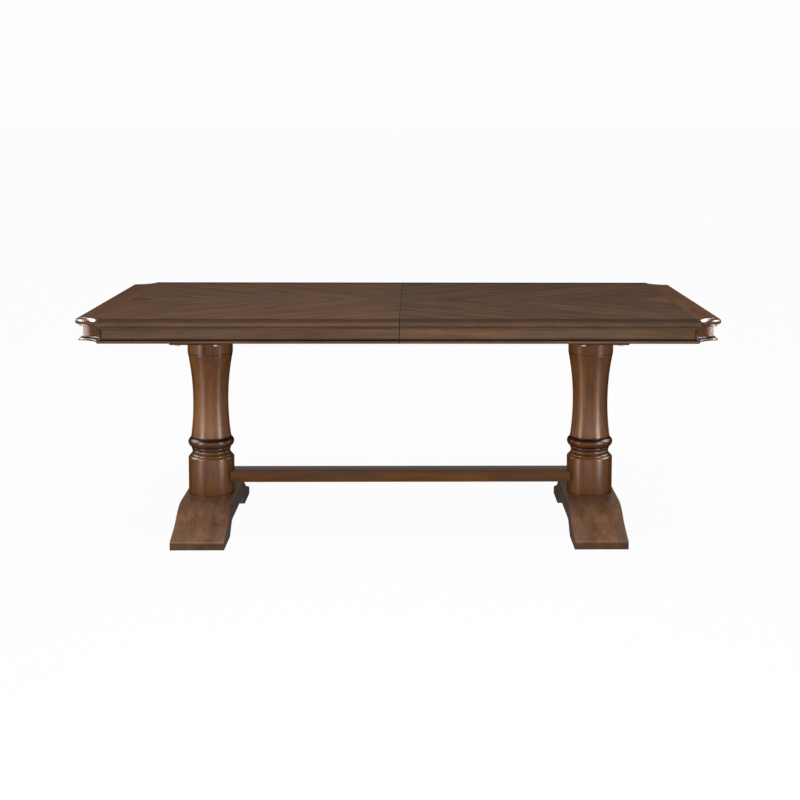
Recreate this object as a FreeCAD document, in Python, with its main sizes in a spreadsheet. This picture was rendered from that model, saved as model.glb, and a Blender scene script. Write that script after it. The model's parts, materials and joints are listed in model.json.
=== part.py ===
"""Extending dining table on two turned pedestals.

X runs along the table, Y from its front to its back and Z up, in millimetres. The origin is the middle
of the table on the floor. The two halves of the top part at X = 0 and slide apart on wooden runners.
"""

import FreeCAD, Part
import math
import os
import re
import Sketcher

# The sizes that can be set, in millimetres unless the name says otherwise

SIZES = {
    # whole table
    "table_length": 1981.0,
    "table_width": 1067.0,
    "table_height": 762.0,
    "slide_travel": 230.0,
    "seam_gap": 0.6,
    # top and its edge
    "panel_thickness": 21.0,
    "veneer_thickness": 1.0,
    "band_margin": 2.0,
    "scoop_radius": 70.0,
    "bullnose_radius": 10.5,
    "moulding_height": 27.0,
    "apron_inset": 19.5,
    "apron_height": 31.0,
    "apron_thickness": 18.0,
    "lip_inset": 7.5,
    "lip_height": 13.0,
    "lip_band": 8.0,
    "lip_round": 3.0,
    # glue blocks behind the apron
    "block_length": 60.0,
    "block_width": 22.0,
    "block_height": 28.0,
    "block_bevel": 12.0,
    # slides: fixed rails, runners and what drives them
    "rail_spread": 600.0,
    "rail_thickness": 30.0,
    "rail_height": 55.0,
    "runner_thickness": 24.0,
    "runner_gap": 3.0,
    "slide_gap": 0.5,
    "runner_end_margin": 83.0,
    "runner_relief": 1.5,
    "tongue_drop": 17.0,
    "tongue_root": 8.0,
    "tongue_tip": 12.0,
    "tongue_reach": 7.0,
    "gear_module": 3.0,
    "pinion_thickness": 12.0,
    "pinion_drop": 41.0,
    "pinion_side_gap": 1.0,
    "gear_backlash": 0.5,
    "pressure_angle": 20.0,
    "gear_root_gap": 0.75,
    "rack_back": 6.0,
    "axle_radius": 4.0,
    "axle_clearance": 0.08,
    "axle_length": 42.0,
    # cross cleat and stops
    "cleat_width": 100.0,
    "cleat_thickness": 20.0,
    "cleat_overhang": 30.0,
    "stop_gap": 2.0,
    "stop_length": 28.0,
    "stop_height": 15.0,
    # pedestals
    "pedestal_inset": 345.0,
    "foot_length": 714.0,
    "foot_width": 173.0,
    "foot_top": 102.0,
    "foot_edge_round": 2.0,
    "shoulder_slope": 30.75,
    "toe_slope": 15.9,
    "toe_round": 8.0,
    "arch_height": 42.0,
    "glide_radius": 12.5,
    "glide_thickness": 4.0,
    "glide_reveal": 1.5,
    "glide_side": 58.0,
    "drum_radius": 77.2,
    "board_width": 165.0,
    "board_overhang": 30.0,
    "board_thickness": 25.0,
    "board_edge_round": 3.0,
    # stretcher
    "stretcher_depth": 82.0,
    "stretcher_height": 37.0,
    "stretcher_middle": 161.5,
    "stretcher_edge_round": 2.0,
    "mortise_flat": 66.0,
    "mortise_gap": 0.5,
    # fastenings
    "rod_radius": 5.0,
    "rod_hole_gap": 1.0,
    "rod_end": 4.0,
    "rod_recess_radius": 18.0,
    "rod_recess_depth": 16.0,
    "nut_height": 8.0,
    "nut_flats": 17.0,
    "washer_thickness": 2.0,
    "washer_radius": 15.0,
    "dowel_radius": 5.0,
    "dowel_depth": 18.0,
    "dowel_offset": 42.0,
    "bolt_radius": 4.0,
    "bolt_length": 55.0,
    "bolt_head_height": 5.5,
    "bolt_head_flats": 13.0,
    "bolt_washer_radius": 8.5,
    "bolt_washer_thickness": 1.6,
    "bolt_spread": 120.0,
    "hanger_radius": 4.0,
    "hanger_in_column": 35.0,
    "hanger_in_stretcher": 48.0,
    "hanger_spread": 40.0,
    "cross_dowel_radius": 7.0,
    "cross_dowel_length": 26.0,
    "cross_dowel_offset": 38.0,
    "screw_radius": 2.5,
    "screw_head_radius": 5.0,
    "screw_head_height": 3.0,
    "screw_bite": 16.0,
    "screw_recess": 20.0,
    "pin_radius": 4.0,
    "pin_reach": 14.0,
    "pin_depth": 26.0,
    "pin_clearance": 0.6,
    # lever locks under the seam
    "lock_spread": 300.0,
    "lock_setback": 22.0,
    "lock_plate_length": 40.0,
    "lock_plate_width": 34.0,
    "lock_plate_thickness": 2.0,
    "lock_stud_radius": 4.0,
    "lock_stud_length": 6.0,
    "lock_head_radius": 7.0,
    "lock_head_height": 2.0,
    "lever_thickness": 3.0,
    "lever_gap": 1.2,
    "lever_slot_gap": 0.6,
    "lever_width": 26.0,
    "lever_handle_length": 62.0,
    "lever_handle_width": 14.0,
    "cut_overrun": 5.0,
}
PINION_TEETH = 16
SPARE_TEETH = 3
RUNNER_SCREWS = 5

# The foot's outline, as shares of its half length and of the arch's height

FOOT_FLAT_SHARE = 0.322
SHOULDER_RADIUS_SHARE = 0.619
HOLLOW_RADIUS_SHARE = 0.555
PAD_INNER_SHARE = 0.594
ARCH_BEND_SHARES = (0.499, 0.500)
ARCH_FLAT_SHARE = 0.359
ARCH_CURVE_SHARE = 0.193
PAD_CURVE_SHARE = 0.109
QUARTER_SHARE = math.tan(math.pi / 8)

# Sizes that follow from the others, as formulas

DERIVED = {
    "half_length": "table_length / 2",
    "half_width": "table_width / 2",
    "half_seam": "seam_gap / 2",
    "half_spacing": "half_length - pedestal_inset",
    "top_depth": "apron_inset + apron_thickness",
    "deck_under": "table_height - panel_thickness - veneer_thickness",
    "moulding_under": "table_height - moulding_height",
    "frieze_under": "moulding_under - apron_height",
    "lip_under": "frieze_under - lip_height",
    "scoop_shoulder": "sqrt(scoop_radius ^ 2 + 2 * scoop_radius * apron_inset)",
    "mitre_slope": "(scoop_shoulder - scoop_radius) / apron_inset",
    "mitre_depth": "top_depth + cut_overrun",
    "field_reach": "sqrt((scoop_radius + top_depth) ^ 2 - top_depth ^ 2)",
    "band_reach": "sqrt((scoop_radius + bullnose_radius) ^ 2 - bullnose_radius ^ 2)",
    "band_line": "half_length - band_reach - band_margin",
    "veneer_under": "table_height - veneer_thickness",
    "rail_top": "deck_under - runner_gap",
    "board_top": "rail_top - rail_height",
    "board_under": "board_top - board_thickness",
    "board_length": "rail_spread + 2 * board_overhang",
    "column_height": "board_under - foot_top",
    "runner_under": "board_top + runner_gap",
    "rail_line": "rail_spread / 2",
    "rail_length": "2 * half_spacing + board_width",
    "runner_face": "rail_thickness / 2 + slide_gap",
    "runner_tail": "cleat_width / 2 + slide_travel + stop_gap + stop_length + stop_gap",
    "runner_start": "half_length - top_depth - runner_end_margin",
    "tongue_middle": "rail_top - tongue_drop",
    "pinion_middle": "rail_top - pinion_drop",
    "pitch_radius": "gear_module * %d / 2" % PINION_TEETH,
    "tooth_pitch": "gear_module * %.9f" % math.pi,
    "channel_height": "pinion_thickness + 2 * pinion_side_gap",
    "rack_root": "pitch_radius + gear_module + gear_root_gap",
    "rack_depth": "rack_root + rack_back",
    "slot_half": "pitch_radius + gear_module + pinion_side_gap",
    "cleat_under": "board_top - cleat_thickness",
    "toe_reach": "foot_length / 2",
    "shoulder_radius": "%.3f * toe_reach" % SHOULDER_RADIUS_SHARE,
    "hollow_radius": "%.3f * toe_reach" % HOLLOW_RADIUS_SHARE,
    "bend_reach": "%.3f * toe_reach + shoulder_radius * sin(shoulder_slope)" % FOOT_FLAT_SHARE,
    "bend_height": "foot_top - shoulder_radius * (1 - cos(shoulder_slope))",
    "hollow_reach": "bend_reach + hollow_radius * (sin(shoulder_slope) - sin(toe_slope))",
    "hollow_height": "bend_height - hollow_radius * (cos(toe_slope) - cos(shoulder_slope))",
    "nose_reach": "toe_reach - toe_round * (1 - sin(toe_slope))",
    "nose_height": "hollow_height - (nose_reach - hollow_reach) * tan(toe_slope)",
    "toe_top": "nose_height - toe_round * cos(toe_slope)",
    "stretcher_end": "half_spacing - mortise_flat",
    "stretcher_under": "stretcher_middle - stretcher_height / 2",
    "rod_washer_under": "glide_reveal + arch_height + rod_recess_depth - washer_thickness",
    "lever_top": "deck_under - lock_plate_thickness - lever_gap",
    "lock_line": "lock_spread / 2",
}

# The turned column from its foot up: radius as a share of the drum's, height as a share of the column's
# and how far the line to the next point bows out, as a share of half its own length

COLUMN_SHARES = [
    (1.000, 0.0000, 0.0),
    (1.000, 0.2195, 0.20),
    (0.940, 0.2315, 0.0),
    (0.904, 0.2339, 0.25),
    (0.845, 0.2459, 0.0),
    (0.816, 0.2483, 0.32),
    (0.798, 0.2672, 0.0),
    (0.802, 0.2706, 0.0),
    (0.850, 0.2730, 0.08),
    (0.858, 0.2829, 0.0),
    (0.847, 0.2858, 0.0),
    (0.868, 0.2872, 0.278),
    (1.001, 0.3180, 0.30),
    (0.872, 0.3432, 0.0),
    (0.854, 0.3445, 0.0),
    (0.854, 0.3477, 0.0),
    (0.877, 0.3499, 0.10),
    (0.866, 0.3587, 0.0),
    (0.861, 0.3631, -0.0321),
    (0.766, 0.5690, -0.0503),
    (0.971, 0.8520, 0.0),
    (0.966, 0.8560, 0.0),
    (0.984, 0.8600, 0.0),
    (0.984, 1.0000, 0.0),
]

GLIDE_SHARES = (-0.93, -0.66, 0.66, 0.93)
BLOCK_PLACE_SHARES = (0.20, 0.42, 0.64, 0.83)
END_BLOCK_SHARES = (-0.55, 0.0, 0.55)
PIN_PLACE_SHARES = (-0.76, -0.20, 0.20, 0.76)

doc = FreeCAD.newDocument("extending_table")
sheet = doc.addObject("Spreadsheet::Sheet", "sizes")
for row, (alias, number) in enumerate(SIZES.items(), start=1):
    sheet.set("A%d" % row, alias)
    sheet.set("B%d" % row, str(number))
    sheet.setAlias("B%d" % row, alias)
doc.recompute()

NAME = re.compile(r"[a-z]+(?:_[a-z]+)+")


def formula(text):
    """Write a formula of named sizes in terms of the sheet's cells."""
    while any(word in DERIVED for word in NAME.findall(text)):
        text = NAME.sub(lambda word: "(%s)" % DERIVED[word[0]] if word[0] in DERIVED else word[0], text)
    return NAME.sub(lambda word: "sizes." + word[0], text)


def value(text):
    """The number that a formula of named sizes gives."""
    return float(sheet.evalExpression(formula(text)))


def bind(item, prop, text):
    """Tie one property of an object to a formula of named sizes."""
    item.setExpression(prop, formula(text))


def place(item, x="0", y="0", z="0"):
    """Set where an object stands by three formulas."""
    for axis, text in zip("xyz", (x, y, z)):
        if text != "0":
            bind(item, "Placement.Base." + axis, text)
    return item


def plane_of(body, role):
    """One of the body's own origin planes or axes."""
    return next(item for item in body.Origin.OriginFeatures if item.Role == role)


def bow_of(start, end, bow):
    """The bow of a line between two points, as a share of half its length; a text is a radius."""
    if not isinstance(bow, str):
        return bow
    half = math.hypot(end[0] - start[0], end[1] - start[1]) / 2
    radius = value(bow)
    rise = abs(radius) - math.sqrt(radius ** 2 - half ** 2)
    return math.copysign(rise / half, radius)


def draw(body, role, outlines, depth="0", circles=()):
    """A sketch on an origin plane: closed outlines of (x, y, bow) corners, and circles of (x, y, radius).

    A bow of 0 is a straight line to the next corner. Otherwise the line is an arc, which bows to the
    right of the way the outline runs when the bow is positive.
    """
    sketch = body.newObject("Sketcher::SketchObject", "Sketch")
    sketch.AttachmentSupport = (plane_of(body, role), "")
    sketch.MapMode = "FlatFace"
    if depth != "0":
        bind(sketch, "AttachmentOffset.Base.z", depth)

    def fix(kind, geometry, point, text):
        index = sketch.addConstraint(Sketcher.Constraint(kind, -1, 1, geometry, point, value(text)))
        if text != "0":
            bind(sketch, "Constraints[%d]" % index, text)

    for outline in outlines:
        corners = [FreeCAD.Vector(value(x), value(y), 0) for x, y, _ in outline]
        ends = []
        for number, (x, y, bow) in enumerate(outline):
            start = corners[number]
            end = corners[(number + 1) % len(outline)]
            next_x, next_y, _ = outline[(number + 1) % len(outline)]
            share = bow_of(start, end, bow)
            if share:
                half = (end - start) / 2
                setback = (1 - share ** 2) / (4 * share)
                middle = start + half - FreeCAD.Vector(half.y, -half.x, 0) * 2 * setback
                circle = Part.Circle(middle, FreeCAD.Vector(0, 0, 1), middle.distanceToPoint(start))
                first, last = (1, 2) if share > 0 else (2, 1)
                turns = [circle.parameter(point) for point in (start, end)[::1 if share > 0 else -1]]
                geometry = sketch.addGeometry(Part.ArcOfCircle(circle, *turns))
                if isinstance(bow, str):
                    radius = "abs(%s)" % bow
                    index = sketch.addConstraint(Sketcher.Constraint("Radius", geometry, value(radius)))
                    bind(sketch, "Constraints[%d]" % index, radius)
                elif abs(half.y) > abs(half.x):
                    centre = "(%s + %s) / 2 - (%s - (%s)) * %.9f" % (x, next_x, next_y, y, setback)
                    fix("DistanceX", geometry, 3, centre)
                else:
                    centre = "(%s + %s) / 2 + (%s - (%s)) * %.9f" % (y, next_y, next_x, x, setback)
                    fix("DistanceY", geometry, 3, centre)
            else:
                geometry = sketch.addGeometry(Part.LineSegment(start, end))
                first, last = 1, 2
            fix("DistanceX", geometry, first, x)
            fix("DistanceY", geometry, first, y)
            ends.append((geometry, first, last))
        for this, following in zip(ends, ends[1:] + ends[:1]):
            joined = (this[0], this[2], following[0], following[1])
            sketch.addConstraint(Sketcher.Constraint("Coincident", *joined))
    for x, y, radius in circles:
        centre = FreeCAD.Vector(value(x), value(y), 0)
        geometry = sketch.addGeometry(Part.Circle(centre, FreeCAD.Vector(0, 0, 1), value(radius)))
        index = sketch.addConstraint(Sketcher.Constraint("Radius", geometry, value(radius)))
        bind(sketch, "Constraints[%d]" % index, radius)
        fix("DistanceX", geometry, 3, x)
        fix("DistanceY", geometry, 3, y)
    return sketch


def new_body(label):
    """An empty body with its label."""
    body = doc.addObject("PartDesign::Body", label)
    body.Label = label
    return body


def pad(body, sketch, length):
    """Thicken a sketch along its plane's normal."""
    feature = body.newObject("PartDesign::Pad", "Pad")
    feature.Profile = sketch
    bind(feature, "Length", length)
    return feature


def cut_through(body, sketch, upward=True):
    """Cut a sketch right through a body."""
    feature = body.newObject("PartDesign::Pocket", "Pocket")
    feature.Profile = sketch
    feature.Type = "ThroughAll"
    feature.Reversed = upward
    return feature


def revolve(body, sketch, angle=360.0):
    """Turn a sketch about its own vertical axis."""
    feature = body.newObject("PartDesign::Revolution", "Revolution")
    feature.Profile = sketch
    feature.ReferenceAxis = (sketch, ["V_Axis"])
    feature.Angle = angle
    return feature


def round_edges(body, radius, wanted):
    """Round the edges of the body's last feature that a test picks."""
    doc.recompute()
    base = body.Tip
    names = ["Edge%d" % number for number, edge in enumerate(base.Shape.Edges, start=1) if wanted(edge)]
    feature = body.newObject("PartDesign::Fillet", "Fillet")
    feature.Base = (base, names)
    bind(feature, "Radius", radius)
    return feature


def box(label, size, x="0", y="0", z="0"):
    """A block by its size and its lowest corner."""
    item = doc.addObject("Part::Box", label)
    for prop, text in zip(("Length", "Width", "Height"), size):
        bind(item, prop, text)
    return place(item, x, y, z)


def rod(label, radius, length, x="0", y="0", z="0", along="z"):
    """A round bar by its radius, its length and the middle of its first end."""
    item = doc.addObject("Part::Cylinder", label)
    bind(item, "Radius", radius)
    bind(item, "Height", length)
    if along == "x":
        item.Placement.Rotation = FreeCAD.Rotation(FreeCAD.Vector(0, 1, 0), 90)
    return place(item, x, y, z)


def hexagon(label, flats, length, x="0", y="0", z="0"):
    """A hexagonal prism by its size across the flats."""
    item = doc.addObject("Part::Prism", label)
    item.Polygon = 6
    bind(item, "Circumradius", "%s / sqrt(3)" % flats)
    bind(item, "Height", length)
    return place(item, x, y, z)


def group(label, pieces):
    """Several separate solids that share a name."""
    item = doc.addObject("Part::Compound", label)
    item.Label = label
    item.Links = pieces
    return item


def fuse(label, pieces):
    """Several solids joined into one."""
    item = doc.addObject("Part::MultiFuse", label)
    item.Label = label
    item.Shapes = pieces
    return item


def cut(label, base, tools):
    """A solid with other solids taken out of it."""
    item = doc.addObject("Part::Cut", label)
    item.Label = label
    item.Base = base
    item.Tool = tools[0] if len(tools) == 1 else group(label + "_cuts", tools)
    return item


def mirrored(label, source, normal):
    """The mirror image of an object in a plane through the origin."""
    item = doc.addObject("Part::Mirroring", label)
    item.Label = label
    item.Source = source
    item.Normal = normal
    return item


def half_turn(label, source):
    """The same object at the table's other end: turned half round about the middle of the table."""
    item = group(label, [source])
    item.Placement = FreeCAD.Placement(FreeCAD.Vector(), FreeCAD.Rotation(FreeCAD.Vector(0, 0, 1), 180))
    return item


def moved(label, source, x="0", y="0", z="0"):
    """The same object somewhere else."""
    return place(group(label, [source]), x, y, z)


FRONT_TO_BACK = FreeCAD.Vector(0, 1, 0)
nodes = {}


def keep(name, item):
    """Count an object as one of the table's pieces, under its own name."""
    item.Label = name
    nodes[name] = item
    return item


# Edge mouldings and aprons: each is a straight run along the front, a scooped corner and a run across
# the end, which meet in mitres at the corner's sharp edges

def shifted(profile, across):
    """A profile of (inset, height, bow) corners drawn from where the inset starts."""
    return [(across % inset, height, bow) for inset, height, bow in profile]


def front_run(label, profile):
    """The run along the front edge, from the seam to the scooped corner."""
    body = new_body(label)
    outline = shifted(profile, "%s - half_width")
    pad(body, draw(body, "YZ_Plane", [outline], "scoop_radius - half_length"),
        "half_length - scoop_radius - half_seam")
    mitre = [
        ("scoop_radius - half_length", "-half_width", 0),
        ("scoop_radius - half_length + mitre_slope * mitre_depth", "mitre_depth - half_width", 0),
        ("scoop_radius - half_length - cut_overrun", "mitre_depth - half_width", 0),
        ("scoop_radius - half_length - cut_overrun", "-half_width", 0),
    ]
    cut_through(body, draw(body, "XY_Plane", [mitre]))
    return body


def end_run(label, profile):
    """The run across the end, between the two scooped corners."""
    body = new_body(label)
    outline = shifted(profile, "%s - half_length")
    pad(body, draw(body, "XZ_Plane", [outline], "scoop_radius - half_width"),
        "table_width - 2 * scoop_radius")
    mitres = []
    for side in ("-1", "1"):
        corner = side + " * (half_width - scoop_radius%s)"
        mitres.append([
            ("-half_length", corner % "", 0),
            ("mitre_depth - half_length", corner % " - mitre_slope * mitre_depth", 0),
            ("mitre_depth - half_length", corner % " + cut_overrun", 0),
            ("-half_length", corner % " + cut_overrun", 0),
        ])
    cut_through(body, draw(body, "XY_Plane", mitres))
    return body


def scooped_corner(label, profile):
    """The hollow quarter round at the front corner, turned about the corner itself."""
    body = place(new_body(label), "-half_length", "-half_width")
    revolve(body, draw(body, "XZ_Plane", [shifted(profile, "scoop_radius + %s")]), 90.0)
    near = "scoop_radius - mitre_slope * cut_overrun"
    far = "scoop_radius + mitre_slope * mitre_depth"
    along = [(near, "-cut_overrun", 0), (far, "-cut_overrun", 0), (far, "mitre_depth", 0)]
    across = [(y, x, bow) for x, y, bow in along]
    cut_through(body, draw(body, "XY_Plane", [along, across]))
    return body


def edge_course(name, profile):
    """All five lengths of one moulding round the left half: front, corner, end, corner, rear."""
    front = front_run(name + "_front", profile)
    corner = scooped_corner(name + "_front_corner", profile)
    end = end_run(name + "_end", profile)
    rear_corner = mirrored(name + "_rear_corner", corner, FRONT_TO_BACK)
    rear = mirrored(name + "_rear", front, FRONT_TO_BACK)
    return front, corner, end, rear_corner, rear


MOULDING = [
    ("bullnose_radius", "moulding_under", 0),
    ("top_depth", "moulding_under", 0),
    ("top_depth", "veneer_under", 0),
    ("bullnose_radius", "veneer_under", 0),
    ("bullnose_radius", "table_height", 1.0),
    ("bullnose_radius", "table_height - 2 * bullnose_radius", 0),
]
APRON = [
    ("apron_inset", "frieze_under", 0),
    ("top_depth", "frieze_under", 0),
    ("top_depth", "moulding_under", 0),
    ("apron_inset", "moulding_under", 0),
]
LIP = [
    ("(lip_inset + lip_round)", "lip_under", 0),
    ("top_depth", "lip_under", 0),
    ("top_depth", "frieze_under", 0),
    ("apron_inset", "frieze_under", -0.35),
    ("(lip_inset + lip_round)", "lip_under + lip_band", QUARTER_SHARE),
    ("lip_inset", "lip_under + lip_band - lip_round", 0),
    ("lip_inset", "lip_under + lip_round", QUARTER_SHARE),
]
keep("left_edge_moulding", group("left_edge_moulding", list(edge_course("moulding", MOULDING))))
apron = edge_course("apron", APRON)
keep("left_front_apron", apron[0])
keep("left_corner_blocks", group("left_corner_blocks", [apron[1], apron[3]]))
keep("left_end_apron", apron[2])
keep("left_rear_apron", apron[4])
keep("left_apron_lip", group("left_apron_lip", list(edge_course("lip", LIP))))


# Slides: a runner of each half hooks over a tongue on each fixed rail

tongue_low = "tongue_middle - tongue_%s / 2"
tongue_high = "tongue_middle + tongue_%s / 2"
groove_floor = "-(rail_thickness / 2 + tongue_reach + slide_gap)"
runner_section = [
    ("-(runner_face + runner_thickness)", "runner_under", 0),
    ("-runner_face", "runner_under", 0),
    ("-runner_face", tongue_low % "root" + " - slide_gap", 0),
    (groove_floor, tongue_low % "tip" + " - slide_gap", 0),
    (groove_floor, tongue_high % "tip" + " + slide_gap", 0),
    ("-runner_face", tongue_high % "root" + " + slide_gap", 0),
    ("-runner_face", "deck_under", 0),
    ("-(runner_face + runner_thickness)", "deck_under", 0),
]
runner = new_body("runner_blank")
pad(runner, draw(runner, "YZ_Plane", [runner_section], "-runner_start"), "runner_start + runner_tail")

screw_line = "-(runner_face + runner_thickness * 0.66)"
screw_seat = "runner_under + screw_recess"
screws = []
screw_holes = []
for number in range(RUNNER_SCREWS):
    x = "-runner_start * (%d + 0.5) / %d" % (number, RUNNER_SCREWS)
    shank = rod("screw_shank_%d" % number, "screw_radius", "deck_under + screw_bite - (%s)" % screw_seat,
                x, screw_line, screw_seat)
    head = rod("screw_head_%d" % number, "screw_head_radius", "screw_head_height", x, screw_line,
               screw_seat + " - screw_head_height")
    screws.append(fuse("runner_screw_%d" % number, [shank, head]))
    counterbore = rod("counterbore_%d" % number, "screw_head_radius", "screw_recess + cut_overrun",
                      x, screw_line, "runner_under - cut_overrun")
    screw_holes.append(fuse("screw_hole_%d" % number, [shank, counterbore]))
relief = box("tail_relief", ("runner_tail + half_seam + cut_overrun", "2 * runner_thickness",
                             "runner_relief + cut_overrun"),
             "-half_seam", "-(runner_face + runner_thickness * 1.5)", "deck_under - runner_relief")
channel = box("rack_channel", ("runner_tail + %d * tooth_pitch + cut_overrun" % SPARE_TEETH,
                               "rack_depth - runner_face + cut_overrun", "channel_height"),
              "-%d * tooth_pitch" % SPARE_TEETH, "-rack_depth", "pinion_middle - channel_height / 2")
bored_runner = cut("bored_runner", runner, screw_holes + [relief, channel])
keep("left_front_runner", moved("left_front_runner", bored_runner, y="-rail_line"))
keep("left_rear_runner", moved("left_rear_runner", bored_runner, y="rail_line"))
row_of_screws = group("row_of_screws", screws)
keep("left_runner_screws", group("left_runner_screws", [
    moved("front_screws", row_of_screws, y="-rail_line"),
    moved("rear_screws", row_of_screws, y="rail_line"),
]))

# The top panel of the left half, its veneers and the alignment pins in its seam

def scooped_plan(start, depth, reach):
    """The plan of a layer: from a line across the table out to the scooped end, inset by a depth."""
    side = "half_width - " + depth
    radius = "-(scoop_radius + %s)" % depth
    return [
        (start, side, 0),
        ("%s - half_length" % reach, side, radius),
        ("%s - half_length" % depth, "half_width - " + reach, 0),
        ("%s - half_length" % depth, "%s - half_width" % reach, radius),
        ("%s - half_length" % reach, "%s - half_width" % depth, 0),
        (start, "%s - half_width" % depth, 0),
    ]


panel = new_body("panel_blank")
pad(panel, draw(panel, "XY_Plane", [scooped_plan("-half_seam", "top_depth", "field_reach")], "deck_under"),
    "panel_thickness")

pin_places = ["%.3f * (half_width - top_depth)" % share for share in PIN_PLACE_SHARES]
pin_height = "deck_under + panel_thickness / 2"
socket_depth = "pin_reach + slide_gap"
pins = []
pin_holes = []
pin_sockets = []
for number, y in enumerate(pin_places, start=1):
    pins.append(rod("alignment_pin_%d" % number, "pin_radius", "pin_depth + half_seam + pin_reach",
                    "-half_seam - pin_depth", y, pin_height, "x"))
    pin_holes.append(rod("pin_hole_%d" % number, "pin_radius", "pin_depth + cut_overrun",
                         "-half_seam - pin_depth", y, pin_height, "x"))
    pin_sockets.append(rod("pin_socket_%d" % number, "pin_radius + pin_clearance",
                           socket_depth + " + cut_overrun", "-(%s)" % socket_depth, y, pin_height, "x"))
screws_in_panel = nodes["left_runner_screws"]
keep("left_top_panel", cut("left_top_panel", panel, pin_holes + [screws_in_panel]))
keep("alignment_pins", group("alignment_pins", pins))
right_panel = cut("right_panel_blank", panel, pin_sockets + [screws_in_panel])
keep("right_top_panel", half_turn("right_top_panel", right_panel))

quarter_size = ("band_line - half_seam", "half_width - bullnose_radius", "veneer_thickness")
quarter = box("field_quarter", quarter_size, "-band_line", "bullnose_radius - half_width", "veneer_under")
rear_quarter = mirrored("field_quarter_rear", quarter, FRONT_TO_BACK)
keep("left_field_veneer", group("left_field_veneer", [quarter, rear_quarter]))
band = new_body("left_end_band")
band_plan = scooped_plan("-band_line", "bullnose_radius", "band_reach")
pad(band, draw(band, "XY_Plane", [band_plan], "veneer_under"), "veneer_thickness")
keep("left_end_band", band)

# Glue blocks in the corner between panel and aprons

blocks = []
block_under = "deck_under - block_height"
for number, share in enumerate(BLOCK_PLACE_SHARES, start=1):
    block = place(new_body("glue_block_%d" % number), "-%.2f * half_length" % share)
    section = [
        ("top_depth - half_width", block_under, 0),
        ("top_depth - half_width + block_width - block_bevel", block_under, 0),
        ("top_depth - half_width + block_width", block_under + " + block_bevel", 0),
        ("top_depth - half_width + block_width", "deck_under", 0),
        ("top_depth - half_width", "deck_under", 0),
    ]
    pad(block, draw(block, "YZ_Plane", [section], "-block_length / 2"), "block_length")
    blocks += [block, mirrored("glue_block_rear_%d" % number, block, FRONT_TO_BACK)]
for number, share in enumerate(END_BLOCK_SHARES, start=1):
    block = place(new_body("end_block_%d" % number), y="%.2f * half_width" % share)
    section = [
        ("top_depth - half_length", block_under, 0),
        ("top_depth - half_length + block_width - block_bevel", block_under, 0),
        ("top_depth - half_length + block_width", block_under + " + block_bevel", 0),
        ("top_depth - half_length + block_width", "deck_under", 0),
        ("top_depth - half_length", "deck_under", 0),
    ]
    pad(block, draw(block, "XZ_Plane", [section], "-block_length / 2"), "block_length")
    blocks.append(block)
keep("left_glue_blocks", group("left_glue_blocks", blocks))


# Toothed racks set in the runners, and the pinions between them

rack_teeth = math.ceil(value("slide_travel / tooth_pitch")) + 2 * SPARE_TEETH
rack = new_body("rack")
rack_start = "-%d * tooth_pitch" % SPARE_TEETH
rack_end = "%d * tooth_pitch" % (rack_teeth - SPARE_TEETH)
rack_under = "pinion_middle - channel_height / 2"
strip = [
    (rack_start, "-rack_depth", 0),
    (rack_end, "-rack_depth", 0),
    (rack_end, "-rack_root", 0),
    (rack_start, "-rack_root", 0),
]
pad(rack, draw(rack, "XY_Plane", [strip], rack_under), "channel_height")
tooth_middle = rack_start + " + tooth_pitch / 2"
flat_half = "(tooth_pitch / 4 - gear_backlash / 2)"
root_half = flat_half + " + (gear_module + gear_root_gap) * tan(pressure_angle)"
tip_half = flat_half + " - gear_module * tan(pressure_angle)"
tooth = [
    ("%s - (%s)" % (tooth_middle, root_half), "-rack_root", 0),
    ("%s + (%s)" % (tooth_middle, root_half), "-rack_root", 0),
    ("%s + (%s)" % (tooth_middle, tip_half), "gear_module - pitch_radius", 0),
    ("%s - (%s)" % (tooth_middle, tip_half), "gear_module - pitch_radius", 0),
]
tooth_sketch = draw(rack, "XY_Plane", [tooth], rack_under)
tooth_pad = pad(rack, tooth_sketch, "channel_height")
teeth = rack.newObject("PartDesign::LinearPattern", "RackTeeth")
teeth.Originals = [tooth_pad]
teeth.Direction = (tooth_sketch, ["H_Axis"])
bind(teeth, "Length", "%d * tooth_pitch" % (rack_teeth - 1))
teeth.Occurrences = rack_teeth
rack.Tip = teeth
keep("left_racks", group("left_racks", [
    moved("front_rack", rack, y="-rail_line"),
    moved("rear_rack", rack, y="rail_line"),
]))

TOOTH_SHARES = ((0.82, -1.40), (0.85, -0.483), (0.332, 0.994))
FLANK_SHARE = 0.123


def pinion(label, y):
    """A gear wheel that stands on an axle in the fixed rail and drives both racks."""
    body = place(new_body(label), y=y)
    under = "pinion_middle - pinion_thickness / 2"
    pad(body, draw(body, "XY_Plane", [], under, [
        ("0", "0", "pitch_radius - 1.25 * gear_module"),
        ("0", "0", "axle_radius + axle_clearance"),
    ]), "pinion_thickness")
    right = [("%.3f * gear_module" % wide, "pitch_radius + %.3f * gear_module" % far)
             for wide, far in TOOTH_SHARES]
    left = [("-" + wide, far) for wide, far in reversed(right)]
    bows = [0, FLANK_SHARE, 0, FLANK_SHARE, 0, 0]
    outline = [corner + (bow,) for corner, bow in zip(right + left, bows)]
    sketch = draw(body, "XY_Plane", [outline], under)
    feature = pad(body, sketch, "pinion_thickness")
    pattern = body.newObject("PartDesign::PolarPattern", "PinionTeeth")
    pattern.Originals = [feature]
    pattern.Axis = (sketch, ["N_Axis"])
    pattern.Angle = 360
    pattern.Occurrences = PINION_TEETH
    body.Tip = pattern
    return body


keep("front_pinion", pinion("front_pinion", "-rail_line"))
keep("rear_pinion", pinion("rear_pinion", "rail_line"))
axles = [rod("axle_%d" % number, "axle_radius", "axle_length", "0", y, "board_top")
         for number, y in enumerate(("-rail_line", "rail_line"), start=1)]
keep("pinion_axles", group("pinion_axles", axles))

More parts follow.
